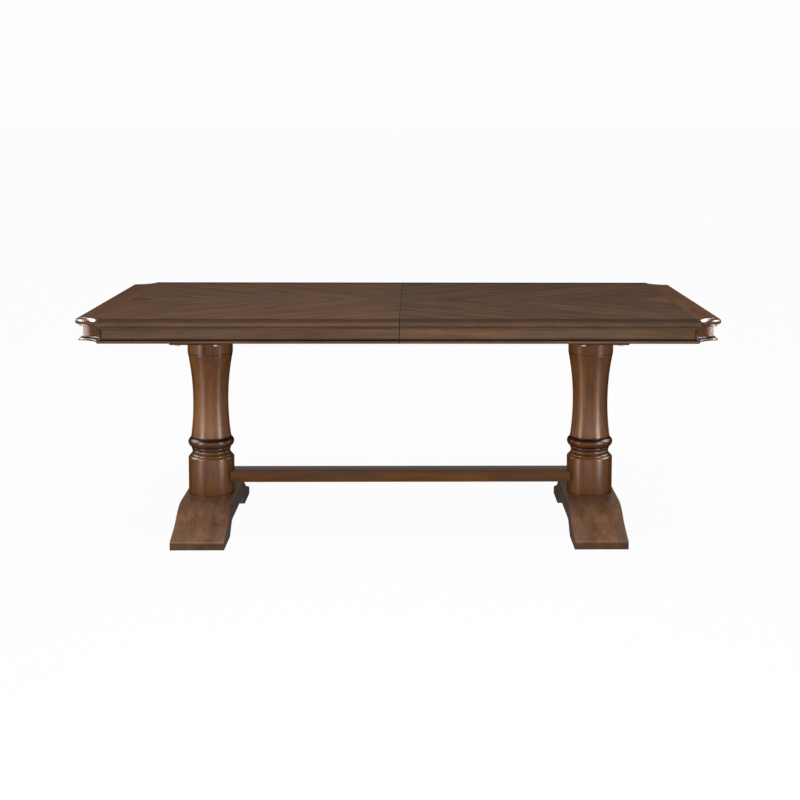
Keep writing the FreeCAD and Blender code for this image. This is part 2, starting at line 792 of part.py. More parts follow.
# Stop blocks under the runners' tails, which meet the cleat when the table is fully open

stop = box("stop", ("stop_length", "runner_thickness", "stop_height"),
           "cleat_width / 2 + slide_travel + stop_gap", "-(runner_face + runner_thickness)",
           "runner_under - stop_height")
keep("left_stop_blocks", group("left_stop_blocks", [
    moved("front_stop", stop, y="-rail_line"),
    moved("rear_stop", stop, y="rail_line"),
]))

# The right half is the left half turned round, so that each runner lies beside the other half's

for piece in ("edge_moulding", "front_apron", "corner_blocks", "end_apron", "rear_apron", "apron_lip",
              "field_veneer", "end_band", "glue_blocks", "front_runner", "rear_runner", "runner_screws",
              "racks", "stop_blocks"):
    other = piece.replace("front", "back").replace("rear", "front").replace("back", "rear")
    keep("right_" + other, half_turn("right_" + other, nodes["left_" + piece]))


# Fixed rails, the cleat that ties them and its screws

def rail_outline():
    """The section of a fixed rail: a bar with a flaring tongue on each face."""
    face = "rail_thickness / 2"
    reach = "(rail_thickness / 2 + tongue_reach)"
    one_side = [
        (face, tongue_low % "root", 0),
        (reach, tongue_low % "tip", 0),
        (reach, tongue_high % "tip", 0),
        (face, tongue_high % "root", 0),
    ]
    other_side = [("-" + y, z, bow) for y, z, bow in reversed(one_side)]
    return ([("-" + face, "board_top", 0), (face, "board_top", 0)] + one_side
            + [(face, "rail_top", 0), ("-" + face, "rail_top", 0)] + other_side)


def bolt_places():
    """Where the bolts stand along one fixed rail: two over each mounting board."""
    place_of = "%d * half_spacing + %d * bolt_spread / 2"
    return [place_of % (side, step) for side in (-1, 1) for step in (-1, 1)]


rail = new_body("rail_blank")
pad(rail, draw(rail, "YZ_Plane", [rail_outline()], "-rail_length / 2"), "rail_length")
cleat_screw_places = ["%s * cleat_width" % share for share in (-0.42, 0.42)]
cleat_screw_length = "cleat_thickness + screw_bite"
slot_reach = "(rail_thickness / 2 + tongue_reach + cut_overrun)"
slot = box("pinion_slot", ("2 * slot_half", "2 * " + slot_reach, "channel_height"),
           "-slot_half", "-" + slot_reach, "pinion_middle - channel_height / 2")
axle_hole = rod("axle_hole", "axle_radius", "axle_length + cut_overrun", z="board_top - cut_overrun")
rail_tools = [slot, axle_hole]
bolt_above = "board_under + bolt_length - board_top"
for number, x in enumerate(bolt_places(), start=1):
    rail_tools.append(rod("rail_bolt_hole_%d" % number, "bolt_radius", bolt_above + " + cut_overrun",
                          x, z="board_top - cut_overrun"))
for number, x in enumerate(cleat_screw_places, start=1):
    rail_tools.append(rod("rail_screw_hole_%d" % number, "screw_radius", "screw_bite + cut_overrun",
                          x, z="board_top - cut_overrun"))
bored_rail = cut("bored_rail", rail, rail_tools)
keep("front_fixed_rail", moved("front_fixed_rail", bored_rail, y="-rail_line"))
keep("rear_fixed_rail", moved("rear_fixed_rail", bored_rail, y="rail_line"))

cleat_blank = box("cleat_blank", ("cleat_width", "rail_spread + 2 * cleat_overhang", "cleat_thickness"),
                  "-cleat_width / 2", "-(rail_line + cleat_overhang)", "cleat_under")
cleat_screws = []
for y in ("-rail_line", "rail_line"):
    for x in cleat_screw_places:
        number = len(cleat_screws)
        shank = rod("cleat_shank_%d" % number, "screw_radius", cleat_screw_length, x, y, "cleat_under")
        head = rod("cleat_head_%d" % number, "screw_head_radius", "screw_head_height", x, y, "cleat_under")
        cleat_screws.append(fuse("cleat_screw_%d" % number, [shank, head]))
keep("centre_cleat", cut("centre_cleat", cleat_blank, cleat_screws))
keep("cleat_screws", group("cleat_screws", cleat_screws))


# Pedestals: a foot, a turned column and a mounting board, drawn together by a threaded rod. The left
# one is drawn at the left and the right one is the same, turned half round

arch_x = "%.3f * toe_reach" % ARCH_BEND_SHARES[0]
arch_z = "glide_reveal + %.3f * arch_height" % ARCH_BEND_SHARES[1]
flat_x = "%.3f * toe_reach" % FOOT_FLAT_SHARE
pad_x = "%.3f * toe_reach" % PAD_INNER_SHARE
ceiling_x = "%.3f * toe_reach" % ARCH_FLAT_SHARE
ceiling_z = "glide_reveal + arch_height"
foot_outline = [
    ("-toe_reach", "glide_reveal", 0),
    ("-" + pad_x, "glide_reveal", PAD_CURVE_SHARE),
    ("-" + arch_x, arch_z, -ARCH_CURVE_SHARE),
    ("-" + ceiling_x, ceiling_z, 0),
    (ceiling_x, ceiling_z, -ARCH_CURVE_SHARE),
    (arch_x, arch_z, PAD_CURVE_SHARE),
    (pad_x, "glide_reveal", 0),
    ("toe_reach", "glide_reveal", 0),
    ("toe_reach", "toe_top", "toe_round"),
    ("nose_reach", "nose_height", 0),
    ("hollow_reach", "hollow_height", "-hollow_radius"),
    ("bend_reach", "bend_height", "shoulder_radius"),
    (flat_x, "foot_top", 0),
    ("-" + flat_x, "foot_top", "shoulder_radius"),
    ("-bend_reach", "bend_height", "-hollow_radius"),
    ("-hollow_reach", "hollow_height", 0),
    ("-nose_reach", "nose_height", "toe_round"),
    ("-toe_reach", "toe_top", 0),
]
foot = new_body("foot_blank")
pad(foot, draw(foot, "YZ_Plane", [foot_outline], "-foot_width / 2"), "foot_width")


def upper_side_edge(edge):
    """Whether an edge runs along a side face of the foot, over its top and down its toes."""
    along = edge.BoundBox
    beside = along.XLength < value("slide_gap")
    down_toe = along.YLength < value("slide_gap")
    over_top = along.ZMin > value("nose_height - toe_round") and not under_arch(along)
    return beside and (down_toe or over_top)


def under_arch(along):
    """Whether an edge belongs to the arch between the pads."""
    return along.ZMax < value(ceiling_z) + value("slide_gap") and abs(along.Center.y) < value(pad_x)


round_edges(foot, "foot_edge_round", upper_side_edge)

rod_hole = rod("rod_hole", "rod_radius + rod_hole_gap", "board_top + cut_overrun")
rod_recess = rod("rod_recess", "rod_recess_radius", "rod_recess_depth + cut_overrun",
                 z=ceiling_z + " - cut_overrun")
column_dowels = []
dowel_holes = []
for height in ("foot_top", "board_under"):
    for x in ("-dowel_offset", "dowel_offset"):
        number = len(column_dowels) + 1
        column_dowels.append(rod("column_dowel_%d" % number, "dowel_radius", "2 * dowel_depth", x,
                                 z=height + " - dowel_depth"))
glides = []
for share in GLIDE_SHARES:
    for side in ("-1", "1"):
        glides.append(rod("glide_%d" % (len(glides) + 1), "glide_radius", "glide_thickness",
                          side + " * glide_side", "%.2f * toe_reach" % share))
bored_foot = cut("bored_foot", foot, [rod_hole, rod_recess] + column_dowels[:2] + glides)
keep("left_foot", moved("left_foot", bored_foot, "-half_spacing"))
keep("left_glides", moved("left_glides", group("glide_set", glides), "-half_spacing"))

column = place(new_body("column_blank"), z="foot_top")
turning = [("0", "0", 0)]
turning += [("%.3f * drum_radius" % wide, "%.4f * column_height" % high, bow)
            for wide, high, bow in COLUMN_SHARES]
turning.append(("0", "column_height", 0))
revolve(column, draw(column, "XZ_Plane", [turning]))

mortise = box("mortise", ("drum_radius", "stretcher_depth + 2 * mortise_gap",
                          "stretcher_height + 2 * mortise_gap"),
              "mortise_flat", "-(stretcher_depth / 2 + mortise_gap)", "stretcher_under - mortise_gap")
hangers = []
cross_dowels = []
cross_dowel_holes = []
for y in ("-hanger_spread / 2", "hanger_spread / 2"):
    number = len(hangers) + 1
    hangers.append(rod("hanger_%d" % number, "hanger_radius", "hanger_in_column + hanger_in_stretcher",
                       "mortise_flat - hanger_in_column", y, "stretcher_middle", "x"))
    barrel = rod("barrel_%d" % number, "cross_dowel_radius", "cross_dowel_length",
                 "mortise_flat + cross_dowel_offset", y, "stretcher_under")
    cross_dowels.append(cut("cross_dowel_%d" % number, barrel, [hangers[-1]]))
    cross_dowel_holes.append(barrel)
bored_column = cut("bored_column", column, [rod_hole, mortise] + column_dowels + hangers)
keep("left_column", moved("left_column", bored_column, "-half_spacing"))

board = new_body("board_blank")
pad(board, draw(board, "XY_Plane", [[
    ("-board_width / 2", "-board_length / 2", 0),
    ("board_width / 2", "-board_length / 2", 0),
    ("board_width / 2", "board_length / 2", 0),
    ("-board_width / 2", "board_length / 2", 0),
]], "board_under"), "board_thickness")
round_edges(board, "board_edge_round", lambda edge: edge.BoundBox.ZLength > value("board_thickness / 2"))

bolts = []
bolt_washers = []
bolt_holes = []
for x in ("-bolt_spread / 2", "bolt_spread / 2"):
    for y in ("-rail_line", "rail_line"):
        number = len(bolts) + 1
        shank = rod("bolt_shank_%d" % number, "bolt_radius", "bolt_length", x, y, "board_under")
        bolt_under = "board_under - bolt_washer_thickness - bolt_head_height"
        head = hexagon("bolt_head_%d" % number, "bolt_head_flats", "bolt_head_height", x, y, bolt_under)
        neck = rod("bolt_neck_%d" % number, "bolt_radius", "bolt_washer_thickness", x, y,
                   "board_under - bolt_washer_thickness")
        bolts.append(fuse("board_bolt_%d" % number, [shank, neck, head]))
        disc = rod("washer_disc_%d" % number, "bolt_washer_radius", "bolt_washer_thickness", x, y,
                   "board_under - bolt_washer_thickness")
        bolt_washers.append(cut("board_washer_%d" % number, disc, [neck]))
        bolt_holes.append(shank)
bored_board = cut("bored_board", board, [rod_hole] + column_dowels[2:] + bolt_holes)
keep("left_mounting_board", moved("left_mounting_board", bored_board, "-half_spacing"))

for name in ("foot", "glides", "column", "mounting_board"):
    keep("right_" + name, half_turn("right_" + name, nodes["left_" + name]))


def at_both_ends(name, pieces):
    """The same small pieces in both pedestals, as one group of separate solids."""
    here = moved(name + "_left", group(name + "_set", pieces), "-half_spacing")
    return keep(name, group(name, [here, half_turn(name + "_right", here)]))


rod_low = "rod_washer_under - nut_height - rod_end"
rod_high = "board_top + washer_thickness + nut_height + rod_end"
tie_rod = rod("tie_rod", "rod_radius", "%s - (%s)" % (rod_high, rod_low), z=rod_low)
washers = []
nuts = []
for number, (washer_at, nut_at) in enumerate((("rod_washer_under", "rod_washer_under - nut_height"),
                                              ("board_top", "board_top + washer_thickness")), start=1):
    washers.append(cut("rod_washer_%d" % number, rod("rod_disc_%d" % number, "washer_radius",
                                                     "washer_thickness", z=washer_at), [tie_rod]))
    nuts.append(cut("rod_nut_%d" % number, hexagon("rod_hexagon_%d" % number, "nut_flats", "nut_height",
                                                   z=nut_at), [tie_rod]))
at_both_ends("tie_rods", [tie_rod])
at_both_ends("tie_rod_washers", washers)
at_both_ends("tie_rod_nuts", nuts)
at_both_ends("column_dowels", column_dowels)
at_both_ends("board_bolts", bolts)
at_both_ends("board_washers", bolt_washers)
at_both_ends("hanger_bolts", hangers)
at_both_ends("cross_dowels", cross_dowels)

# The stretcher between the columns

beam = new_body("stretcher_blank")
pad(beam, draw(beam, "YZ_Plane", [[
    ("-stretcher_depth / 2", "stretcher_under", 0),
    ("stretcher_depth / 2", "stretcher_under", 0),
    ("stretcher_depth / 2", "stretcher_under + stretcher_height", 0),
    ("-stretcher_depth / 2", "stretcher_under + stretcher_height", 0),
]], "-stretcher_end"), "2 * stretcher_end")
round_edges(beam, "stretcher_edge_round", lambda edge: edge.BoundBox.XLength > value("stretcher_end"))
bores = moved("stretcher_bores", fuse("bore_tools", hangers + cross_dowel_holes), "-half_spacing")
keep("stretcher", cut("stretcher", beam, [bores, half_turn("stretcher_bores_right", bores)]))

# Lever locks under the seam: a hooked lever on the right half turns round a stud on the left half

lock_parts = {"keeper": [], "plate": []}
for number, y in enumerate(("-lock_line", "lock_line"), start=1):
    for kind, x in (("keeper", "-lock_setback"), ("plate", "lock_setback")):
        label = "lock_%s_%d" % (kind, number)
        plate_size = ("lock_plate_width", "lock_plate_length", "lock_plate_thickness")
        sheet_metal = box(label + "_sheet", plate_size, x + " - lock_plate_width / 2",
                          y + " - lock_plate_length / 2", "deck_under - lock_plate_thickness")
        stud_under = "deck_under - lock_plate_thickness - lock_stud_length"
        stud = rod(label + "_stud", "lock_stud_radius", "lock_stud_length", x, y, stud_under)
        head = rod(label + "_head", "lock_head_radius", "lock_head_height", x, y,
                   stud_under + " - lock_head_height")
        lock_parts[kind].append(fuse(label, [sheet_metal, stud, head]))
keep("lock_keepers", group("lock_keepers", lock_parts["keeper"]))
keep("lock_plates", group("lock_plates", lock_parts["plate"]))


def lock_lever(label, y):
    """A flat lever: a hook with a curved slot at one end and a handle at the other."""
    body = place(new_body(label), "lock_setback", y)
    inner = "(2 * lock_setback - lock_stud_radius - lever_slot_gap)"
    outer = "(2 * lock_setback + lock_stud_radius + lever_slot_gap)"
    side = "lever_width / 2"
    tip = "-(2 * lock_setback + lock_stud_radius + lever_width / 4)"
    handle = "lever_handle_width / 2"
    outline = [
        ("-lever_width / 2", tip, 0),
        (side, tip, 0),
        (side, "0", 0),
        (handle, side, 0),
        (handle, "lever_handle_length - lever_handle_width / 2", 1.0),
        ("-" + handle, "lever_handle_length - lever_handle_width / 2", 0),
        ("-" + handle, side, 0),
        ("-lever_width / 2", "0", 0),
        ("-lever_width / 2", "-sqrt(%s ^ 2 - (lever_width / 2) ^ 2)" % inner, inner),
        ("0", "-" + inner, -1.0),
        ("0", "-" + outer, "-" + outer),
        ("-lever_width / 2", "-sqrt(%s ^ 2 - (lever_width / 2) ^ 2)" % outer, 0),
    ]
    sketch = draw(body, "XY_Plane", [outline], "lever_top - lever_thickness",
                  [("0", "0", "lock_stud_radius + axle_clearance")])
    pad(body, sketch, "lever_thickness")
    return body


keep("front_lock_lever", lock_lever("front_lock_lever", "-lock_line"))
keep("rear_lock_lever", lock_lever("rear_lock_lever", "lock_line"))

# Check every object, then write each piece under its own name

doc.recompute()
failed = [item.Label for item in doc.Objects if {"Invalid", "Error"} & set(item.State)]
if failed:
    raise RuntimeError("objects that failed: " + ", ".join(failed))
for feature in doc.Objects:
    if feature.TypeId in ("PartDesign::Pocket", "PartDesign::Fillet"):
        if not feature.Shape.Volume < feature.BaseFeature.Shape.Volume:
            raise RuntimeError(feature.Name + " takes nothing away")
for name, item in nodes.items():
    if item.Shape.isNull() or not item.Shape.isValid() or not item.Shape.Solids:
        raise RuntimeError(name + " has no sound solid")
os.makedirs("parts", exist_ok=True)
for name, item in nodes.items():
    item.Shape.exportStep(os.path.join("parts", name + ".step"))
    print("%-22s %2d solids %10.1f cm3" % (name, len(item.Shape.Solids), item.Shape.Volume / 1000))
print(len(nodes), "pieces")
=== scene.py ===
# %% [markdown]
# # An extending dining table on two turned pedestals
#
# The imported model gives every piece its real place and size. This lesson dresses it: the mouldings, the
# columns and the feet are made again as fine meshes, and every surface gets a wood, metal or paint that is
# worked out by nodes. All lengths are in metres, X runs along the table, Y from front to back and Z up.

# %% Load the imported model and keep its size
import json
import math

import bmesh
import bpy
from mathutils import Matrix, Vector


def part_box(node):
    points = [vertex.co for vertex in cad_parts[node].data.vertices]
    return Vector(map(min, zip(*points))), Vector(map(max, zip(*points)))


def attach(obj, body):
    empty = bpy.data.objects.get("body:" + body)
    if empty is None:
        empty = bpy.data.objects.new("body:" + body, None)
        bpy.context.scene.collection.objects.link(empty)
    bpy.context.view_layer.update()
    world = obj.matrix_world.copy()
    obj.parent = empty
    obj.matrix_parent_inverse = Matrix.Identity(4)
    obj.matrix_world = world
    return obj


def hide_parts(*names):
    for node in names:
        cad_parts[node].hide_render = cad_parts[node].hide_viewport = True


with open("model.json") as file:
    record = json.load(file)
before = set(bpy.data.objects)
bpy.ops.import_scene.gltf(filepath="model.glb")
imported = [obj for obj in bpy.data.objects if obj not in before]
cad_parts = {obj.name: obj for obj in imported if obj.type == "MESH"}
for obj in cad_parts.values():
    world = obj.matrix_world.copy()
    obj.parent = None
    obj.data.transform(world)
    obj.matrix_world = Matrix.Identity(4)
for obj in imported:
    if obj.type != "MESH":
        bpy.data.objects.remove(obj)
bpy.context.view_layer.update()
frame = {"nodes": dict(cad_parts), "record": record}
nodes = frame["nodes"]
scene = bpy.context.scene

# %% [markdown]
# ## The camera
#
# The photograph was taken from just right of the middle, a little above the top, with a long lens. A
# perspective fitted to the table's edges and feet gives the place, the turn and the lens. The picture was
# cropped above the middle of the lens, which the camera repeats with a shift. A turntable view would be
# easier to set up, but then no line of the render could be laid over the photograph.

# %% Camera
FRAME_PIXELS = 800
LENS_PIXELS = 1453.3
LENS_CENTRE = (442.05, 259.8)
CAMERA_PLACE, CAMERA_TURN, CAMERA_PITCH, CAMERA_ROLL = (0.0462, -4.884, 1.3616), -0.0189, -0.0948, 0.0031
camera_data = bpy.data.cameras.new("camera")
camera_data.sensor_width = 36.0
camera_data.lens = camera_data.sensor_width * LENS_PIXELS / FRAME_PIXELS
camera_data.shift_x = (FRAME_PIXELS / 2 - LENS_CENTRE[0]) / FRAME_PIXELS
camera_data.shift_y = (LENS_CENTRE[1] - FRAME_PIXELS / 2) / FRAME_PIXELS
camera = bpy.data.objects.new("camera", camera_data)
scene.collection.objects.link(camera)
camera.matrix_world = (Matrix.Translation(CAMERA_PLACE) @ Matrix.Rotation(CAMERA_TURN, 4, "Z")
                       @ Matrix.Rotation(math.radians(90) + CAMERA_PITCH, 4, "X")
                       @ Matrix.Rotation(CAMERA_ROLL, 4, "Z"))
scene.camera = camera
scene.view_settings.view_transform = "Standard"
print("lens:", round(camera_data.lens, 1), "mm, shift:", round(camera_data.shift_x, 4),
      round(camera_data.shift_y, 4))

# %% [markdown]
# ## Node helpers
#
# Every material here is a small graph of nodes. It could be drawn by hand in the shader editor, but a
# script makes the same graph each time and can be read from top to bottom. The first helper adds a node and
# fills its inputs, where an input may be a number or another node's output. The next five are single steps
# that come up often, and the last makes a node group with named inputs and outputs, which several materials
# then share.

# %% Helpers for nodes
def add_node(tree, kind, inputs=(), **settings):
    """Adds a node, sets its properties, and fills its inputs by name or number."""
    node = tree.nodes.new(kind)
    for name, setting in settings.items():
        setattr(node, name, setting)
    for name, given in dict(inputs).items():
        if isinstance(given, bpy.types.NodeSocket):
            tree.links.new(given, node.inputs[name])
        else:
            node.inputs[name].default_value = given
    return node


def sums(tree, operation, *terms):
    """One Math node, whose terms are numbers or outputs of other nodes."""
    node = add_node(tree, "ShaderNodeMath", dict(enumerate(terms)), operation=operation)
    return node.outputs[0]


def remap(tree, factor, low, high, to_low=0.0, to_high=1.0):
    """Stretches the part of a value between low and high over a new range, and clamps it."""
    inputs = {"Value": factor, "From Min": low, "From Max": high, "To Min": to_low, "To Max": to_high}
    return add_node(tree, "ShaderNodeMapRange", inputs).outputs["Result"]


def mixed(tree, factor, first, second, blend="MIX"):
    """Mixes two colours."""
    node = add_node(tree, "ShaderNodeMix", data_type="RGBA", blend_type=blend)
    for index, given in ((0, factor), (6, first), (7, second)):
        if isinstance(given, bpy.types.NodeSocket):
            tree.links.new(given, node.inputs[index])
        else:
            node.inputs[index].default_value = given
    return node.outputs[2]


print("node helpers:", [helper.__name__ for helper in (add_node, sums, remap, mixed)])


# %% Helpers for coordinates and groups
def parts_of(tree, vector):
    """The X, Y and Z of a vector."""
    return add_node(tree, "ShaderNodeSeparateXYZ", {0: vector}).outputs


def turned(tree, vector, degrees, axis):
    """A vector turned about one of the three axes."""
    inputs = {0: vector, "Angle": math.radians(degrees)}
    return add_node(tree, "ShaderNodeVectorRotate", inputs, rotation_type=axis + "_AXIS").outputs[0]


FLOAT, VECTOR, COLOUR = "NodeSocketFloat", "NodeSocketVector", "NodeSocketColor"


def new_group(name, inputs, outputs):
    """An empty node group with its sockets, and its input and output nodes."""
    tree = bpy.data.node_groups.new(name, "ShaderNodeTree")
    for socket, kind, start in inputs:
        made = tree.interface.new_socket(socket, in_out="INPUT", socket_type=kind)
        if start is not None:
            made.default_value = start
    for socket, kind in outputs:
        tree.interface.new_socket(socket, in_out="OUTPUT", socket_type=kind)
    return tree, tree.nodes.new("NodeGroupInput").outputs, tree.nodes.new("NodeGroupOutput").inputs


print("more helpers:", [helper.__name__ for helper in (parts_of, turned, new_group)])

# %% [markdown]
# ## The floor and the light
#
# The table stands in a plain white studio. The floor is a diffuse surface that still takes the table's
# shadow. What a camera ray or a reflection sees of it is mostly its own white, so that it joins the white
# of the world without a horizon. From below the floor is clear, so that the slides can be looked at. One
# wide lamp above lights the top and one in front lights the rest. The columns and the feet get a further
# lamp from each side, the left one stronger, as their shades in the photograph ask for. A picture of a
# studio wrapped round the world could light the table too, but lamps can be placed and weighed one by one,
# and Blender can tie a lamp to certain pieces. Each lamp names those, where it doesn't light them all.

# %% Light path and world
def seen_directly(tree):
    """1 for camera, glossy and transmission rays, 0 for light that spreads."""
    path = add_node(tree, "ShaderNodeLightPath").outputs
    glossy = sums(tree, "ADD", path["Is Glossy Ray"], path["Is Transmission Ray"])
    any_of_them = sums(tree, "ADD", path["Is Camera Ray"], glossy)
    return add_node(tree, "ShaderNodeClamp", {"Value": any_of_them}).outputs[0]


world = bpy.data.worlds.new("studio")
world.use_nodes = True
tree = world.node_tree
tree.nodes.clear()
soft = add_node(tree, "ShaderNodeBackground", {"Color": (1.0, 1.0, 1.0, 1.0), "Strength": 0.3})
white = add_node(tree, "ShaderNodeBackground", {"Color": (0.98, 0.98, 0.98, 1.0), "Strength": 1.0})
either = add_node(tree, "ShaderNodeMixShader",
                  {0: seen_directly(tree), 1: soft.outputs[0], 2: white.outputs[0]})
add_node(tree, "ShaderNodeOutputWorld", {"Surface": either.outputs[0]})
scene.world = world
print("world:", world.name)

# %% Floor
FLOOR_REACH = 400.0
floor_mesh = bpy.data.meshes.new("floor")
floor_mesh.from_pydata([(-FLOOR_REACH, -FLOOR_REACH, 0), (FLOOR_REACH, -FLOOR_REACH, 0),
                        (FLOOR_REACH, FLOOR_REACH, 0), (-FLOOR_REACH, FLOOR_REACH, 0)], [], [(0, 1, 2, 3)])
floor = bpy.data.objects.new("floor", floor_mesh)
scene.collection.objects.link(floor)
floor_paint = bpy.data.materials.new("studio floor")
floor_paint.use_nodes = True
tree = floor_paint.node_tree
tree.nodes.clear()
spreading = add_node(tree, "ShaderNodeBsdfDiffuse", {"Color": (0.50, 0.50, 0.50, 1.0)})
shaded = add_node(tree, "ShaderNodeBsdfDiffuse", {"Color": (0.03, 0.03, 0.03, 1.0)})
glow = add_node(tree, "ShaderNodeEmission", {"Color": (1.0, 1.0, 1.0, 1.0), "Strength": 0.965})
seen = add_node(tree, "ShaderNodeAddShader", {0: shaded.outputs[0], 1: glow.outputs[0]})
either = add_node(tree, "ShaderNodeMixShader",
                  {0: seen_directly(tree), 1: spreading.outputs[0], 2: seen.outputs[0]})
below = add_node(tree, "ShaderNodeNewGeometry").outputs["Backfacing"]
clear = add_node(tree, "ShaderNodeBsdfTransparent")
surface = add_node(tree, "ShaderNodeMixShader", {0: below, 1: either.outputs[0], 2: clear.outputs[0]})
add_node(tree, "ShaderNodeOutputMaterial", {"Surface": surface.outputs[0]})
floor_mesh.materials.append(floor_paint)
print("floor:", 2 * FLOOR_REACH, "m across")

# %% Lamps
SIDES = (("left", -1), ("right", 1))
lit_only = {}


def soft_lamp(name, place, target, width, height, radiance, only_gloss=False, spread=180, lights=()):
    """A rectangular lamp that points at a target. Its radiance is 1 for the white of the backdrop."""
    data = bpy.data.lights.new(name, "AREA")
    data.shape = "RECTANGLE"
    data.size, data.size_y = width, height
    data.energy = radiance * width * height * math.pi
    data.spread = math.radians(spread)
    lamp = bpy.data.objects.new(name, data)
    scene.collection.objects.link(lamp)
    lamp.location = place
    lamp.rotation_euler = (Vector(target) - Vector(place)).to_track_quat("-Z", "Y").to_euler()
    lamp.visible_camera = False
    lamp.visible_diffuse = not only_gloss
    if lights:
        lit_only[lamp] = lights
    return lamp


soft_lamp("lamp_above", (0.0, -1.2, 3.2), (0.0, 0.0, 0.5), 3.2, 1.6, 4.4)
soft_lamp("lamp_front", (0.0, -3.6, 1.1), (0.0, 0.0, 0.45), 3.2, 1.8, 3.0)
SIDE_RADIANCE = {"left": 6.4, "right": 2.3}
for side, sign in SIDES:
    lamp = soft_lamp("lamp_side_" + side, (sign * 1.9, -0.9, 0.5), (sign * 0.6, 0.0, 0.35), 0.8, 0.9,
                     SIDE_RADIANCE[side], lights=("column", "foot"))
    lamp.visible_glossy = False

# %% [markdown]
# Lacquer shows lamps as sharp highlights, and a lamp that is bright enough for those would burn out the
# colours if it lit the wood too. These panels therefore only show in reflections. Two tall ones stand at
# the left and right and draw the upright highlights on the columns. A drum that is seen from a little above
# mirrors what is near the floor, so each column has two low panels of its own, in line with the tall ones.
# Each scooped corner has one in front of it and one behind, and the rings of the columns catch the one
# behind.

# %% Panels that only show in reflections
PEDESTAL = 0.6455
LOW_PANEL_AWAY, LOW_PANEL_HEIGHT, LOW_PANEL_AIM = 1.2, 0.05, 0.55
tall_panels = [soft_lamp("panel_left", (-1.9, -1.2, 1.38), (-PEDESTAL, 0.0, 1.18), 0.62, 2.0, 18, True),
               soft_lamp("panel_right", (2.7, -2.1, 1.3), (PEDESTAL, 0.0, 1.1), 1.0, 2.1, 21, True)]
for side, sign in SIDES:
    corner = (sign * 0.97, -0.46, 0.73)
    soft_lamp("panel_corner_" + side, (sign * 1.48, -1.07, 1.0), corner, 0.3, 1.3, 12, True, 70,
              lights=("corner",))
    soft_lamp("panel_back_" + side, (sign * 2.3, 0.5, 1.5), corner, 2.0, 1.4, 26, True,
              lights=("corner", "column"))
    axis = Vector((sign * PEDESTAL, 0.0, 0.0))
    for panel in tall_panels:
        outward = (Vector((panel.location.x, panel.location.y, 0.0)) - axis).normalized()
        soft_lamp("glow_%s_%s" % (side, panel.name),
                  axis + outward * LOW_PANEL_AWAY + Vector((0, 0, LOW_PANEL_HEIGHT)),
                  axis + Vector((0, 0, LOW_PANEL_AIM)), 0.30, 0.9, 5, True, lights=(side + "_turned",))

# %% [markdown]
# ## Wood as a solid
#
# Real wood has its figure all through it, so a turned column shows other lines than a flat board. Noise in
# three dimensions, drawn out long along the grain, gives that by itself: broad bands are the growth, fine
# ones the fibres and short dark dashes the pores, and a slow one makes the stain a little warmer here and
# cooler there. Big pieces are glued up from narrower boards, so the group also cuts the piece into boards
# and gives each its own place in the noise and its own tone. A photograph of wood wrapped round the piece
# would break at every edge. The group is built once, and each material gives it the width of its boards and
# the strength of its figure.

# %% Helpers for noise
def scaled(tree, vector, *scales):
    """A vector times three numbers."""
    return add_node(tree, "ShaderNodeVectorMath", {0: vector, 1: scales}, operation="MULTIPLY").outputs[0]


def noise(tree, vector, detail=2.0, roughness=0.5):
    """Cloudy noise at the vector's own scale, from 0 to 1."""
    inputs = {"Vector": vector, "Scale": 1.0, "Detail": detail, "Roughness": roughness}
    return add_node(tree, "ShaderNodeTexNoise", inputs).outputs["Fac"]


print("noise helpers:", scaled.__name__, noise.__name__)

# %% Node group: wood figure
# How often each part of the figure changes in a metre, along the grain and twice across it
SWAY, GROWTH, FIBRES = (1.6, 5.0, 5.0), (0.9, 26.0, 26.0), (3.0, 170.0, 170.0)
DASHES, CLOUDS, WARMTH = (34.0, 1300.0, 1300.0), (7.0, 16.0, 16.0), (2.6, 14.0, 14.0)
SWAY_REACH = 0.05
FIBRE_RELIEF, PORE_RELIEF = 0.15, 0.08
COOL, WARM_TINT = (0.93, 1.0, 1.10, 1.0), (1.08, 1.0, 0.86, 1.0)

figure, given, result = new_group(
    "Wood figure",
    [("Vector", VECTOR, None), ("Board Width", FLOAT, 1.0), ("Wander", FLOAT, 1.0),
     ("Board Contrast", FLOAT, 0.3), ("Bands", FLOAT, 1.5), ("Fibre", FLOAT, 0.9), ("Mottle", FLOAT, 0.7)],
    [("Tone", FLOAT), ("Pores", FLOAT), ("Height", FLOAT), ("Tint", COLOUR)])
piece_seed = add_node(figure, "ShaderNodeObjectInfo").outputs["Random"]
across = parts_of(figure, given["Vector"])["Y"]
from_edge = sums(figure, "MULTIPLY_ADD", given["Board Width"], 0.5, across)
board = sums(figure, "FLOOR", sums(figure, "DIVIDE", from_edge, given["Board Width"]))
board_seed = sums(figure, "ADD", sums(figure, "MULTIPLY", piece_seed, 97.0), board)
chance = add_node(figure, "ShaderNodeTexWhiteNoise", {"W": board_seed}, noise_dimensions="1D").outputs
start = scaled(figure, chance["Color"], 9.0, 2.0, 2.0)
own = add_node(figure, "ShaderNodeVectorMath", {0: given["Vector"], 1: start}, operation="ADD").outputs[0]
sway = sums(figure, "SUBTRACT", noise(figure, scaled(figure, own, *SWAY)), 0.5)
sway = sums(figure, "MULTIPLY", sums(figure, "MULTIPLY", sway, SWAY_REACH), given["Wander"])
sideways = add_node(figure, "ShaderNodeCombineXYZ", {"Y": sway, "Z": sway}).outputs[0]
bent = add_node(figure, "ShaderNodeVectorMath", {0: own, 1: sideways}, operation="ADD").outputs[0]
growth = noise(figure, scaled(figure, bent, *GROWTH), 3.0, 0.6)
fibre = noise(figure, scaled(figure, bent, *FIBRES), 3.0, 0.6)
dashes = noise(figure, scaled(figure, bent, *DASHES), 1.0)
cloud = noise(figure, scaled(figure, bent, *CLOUDS), 2.0)
tone = 0.5
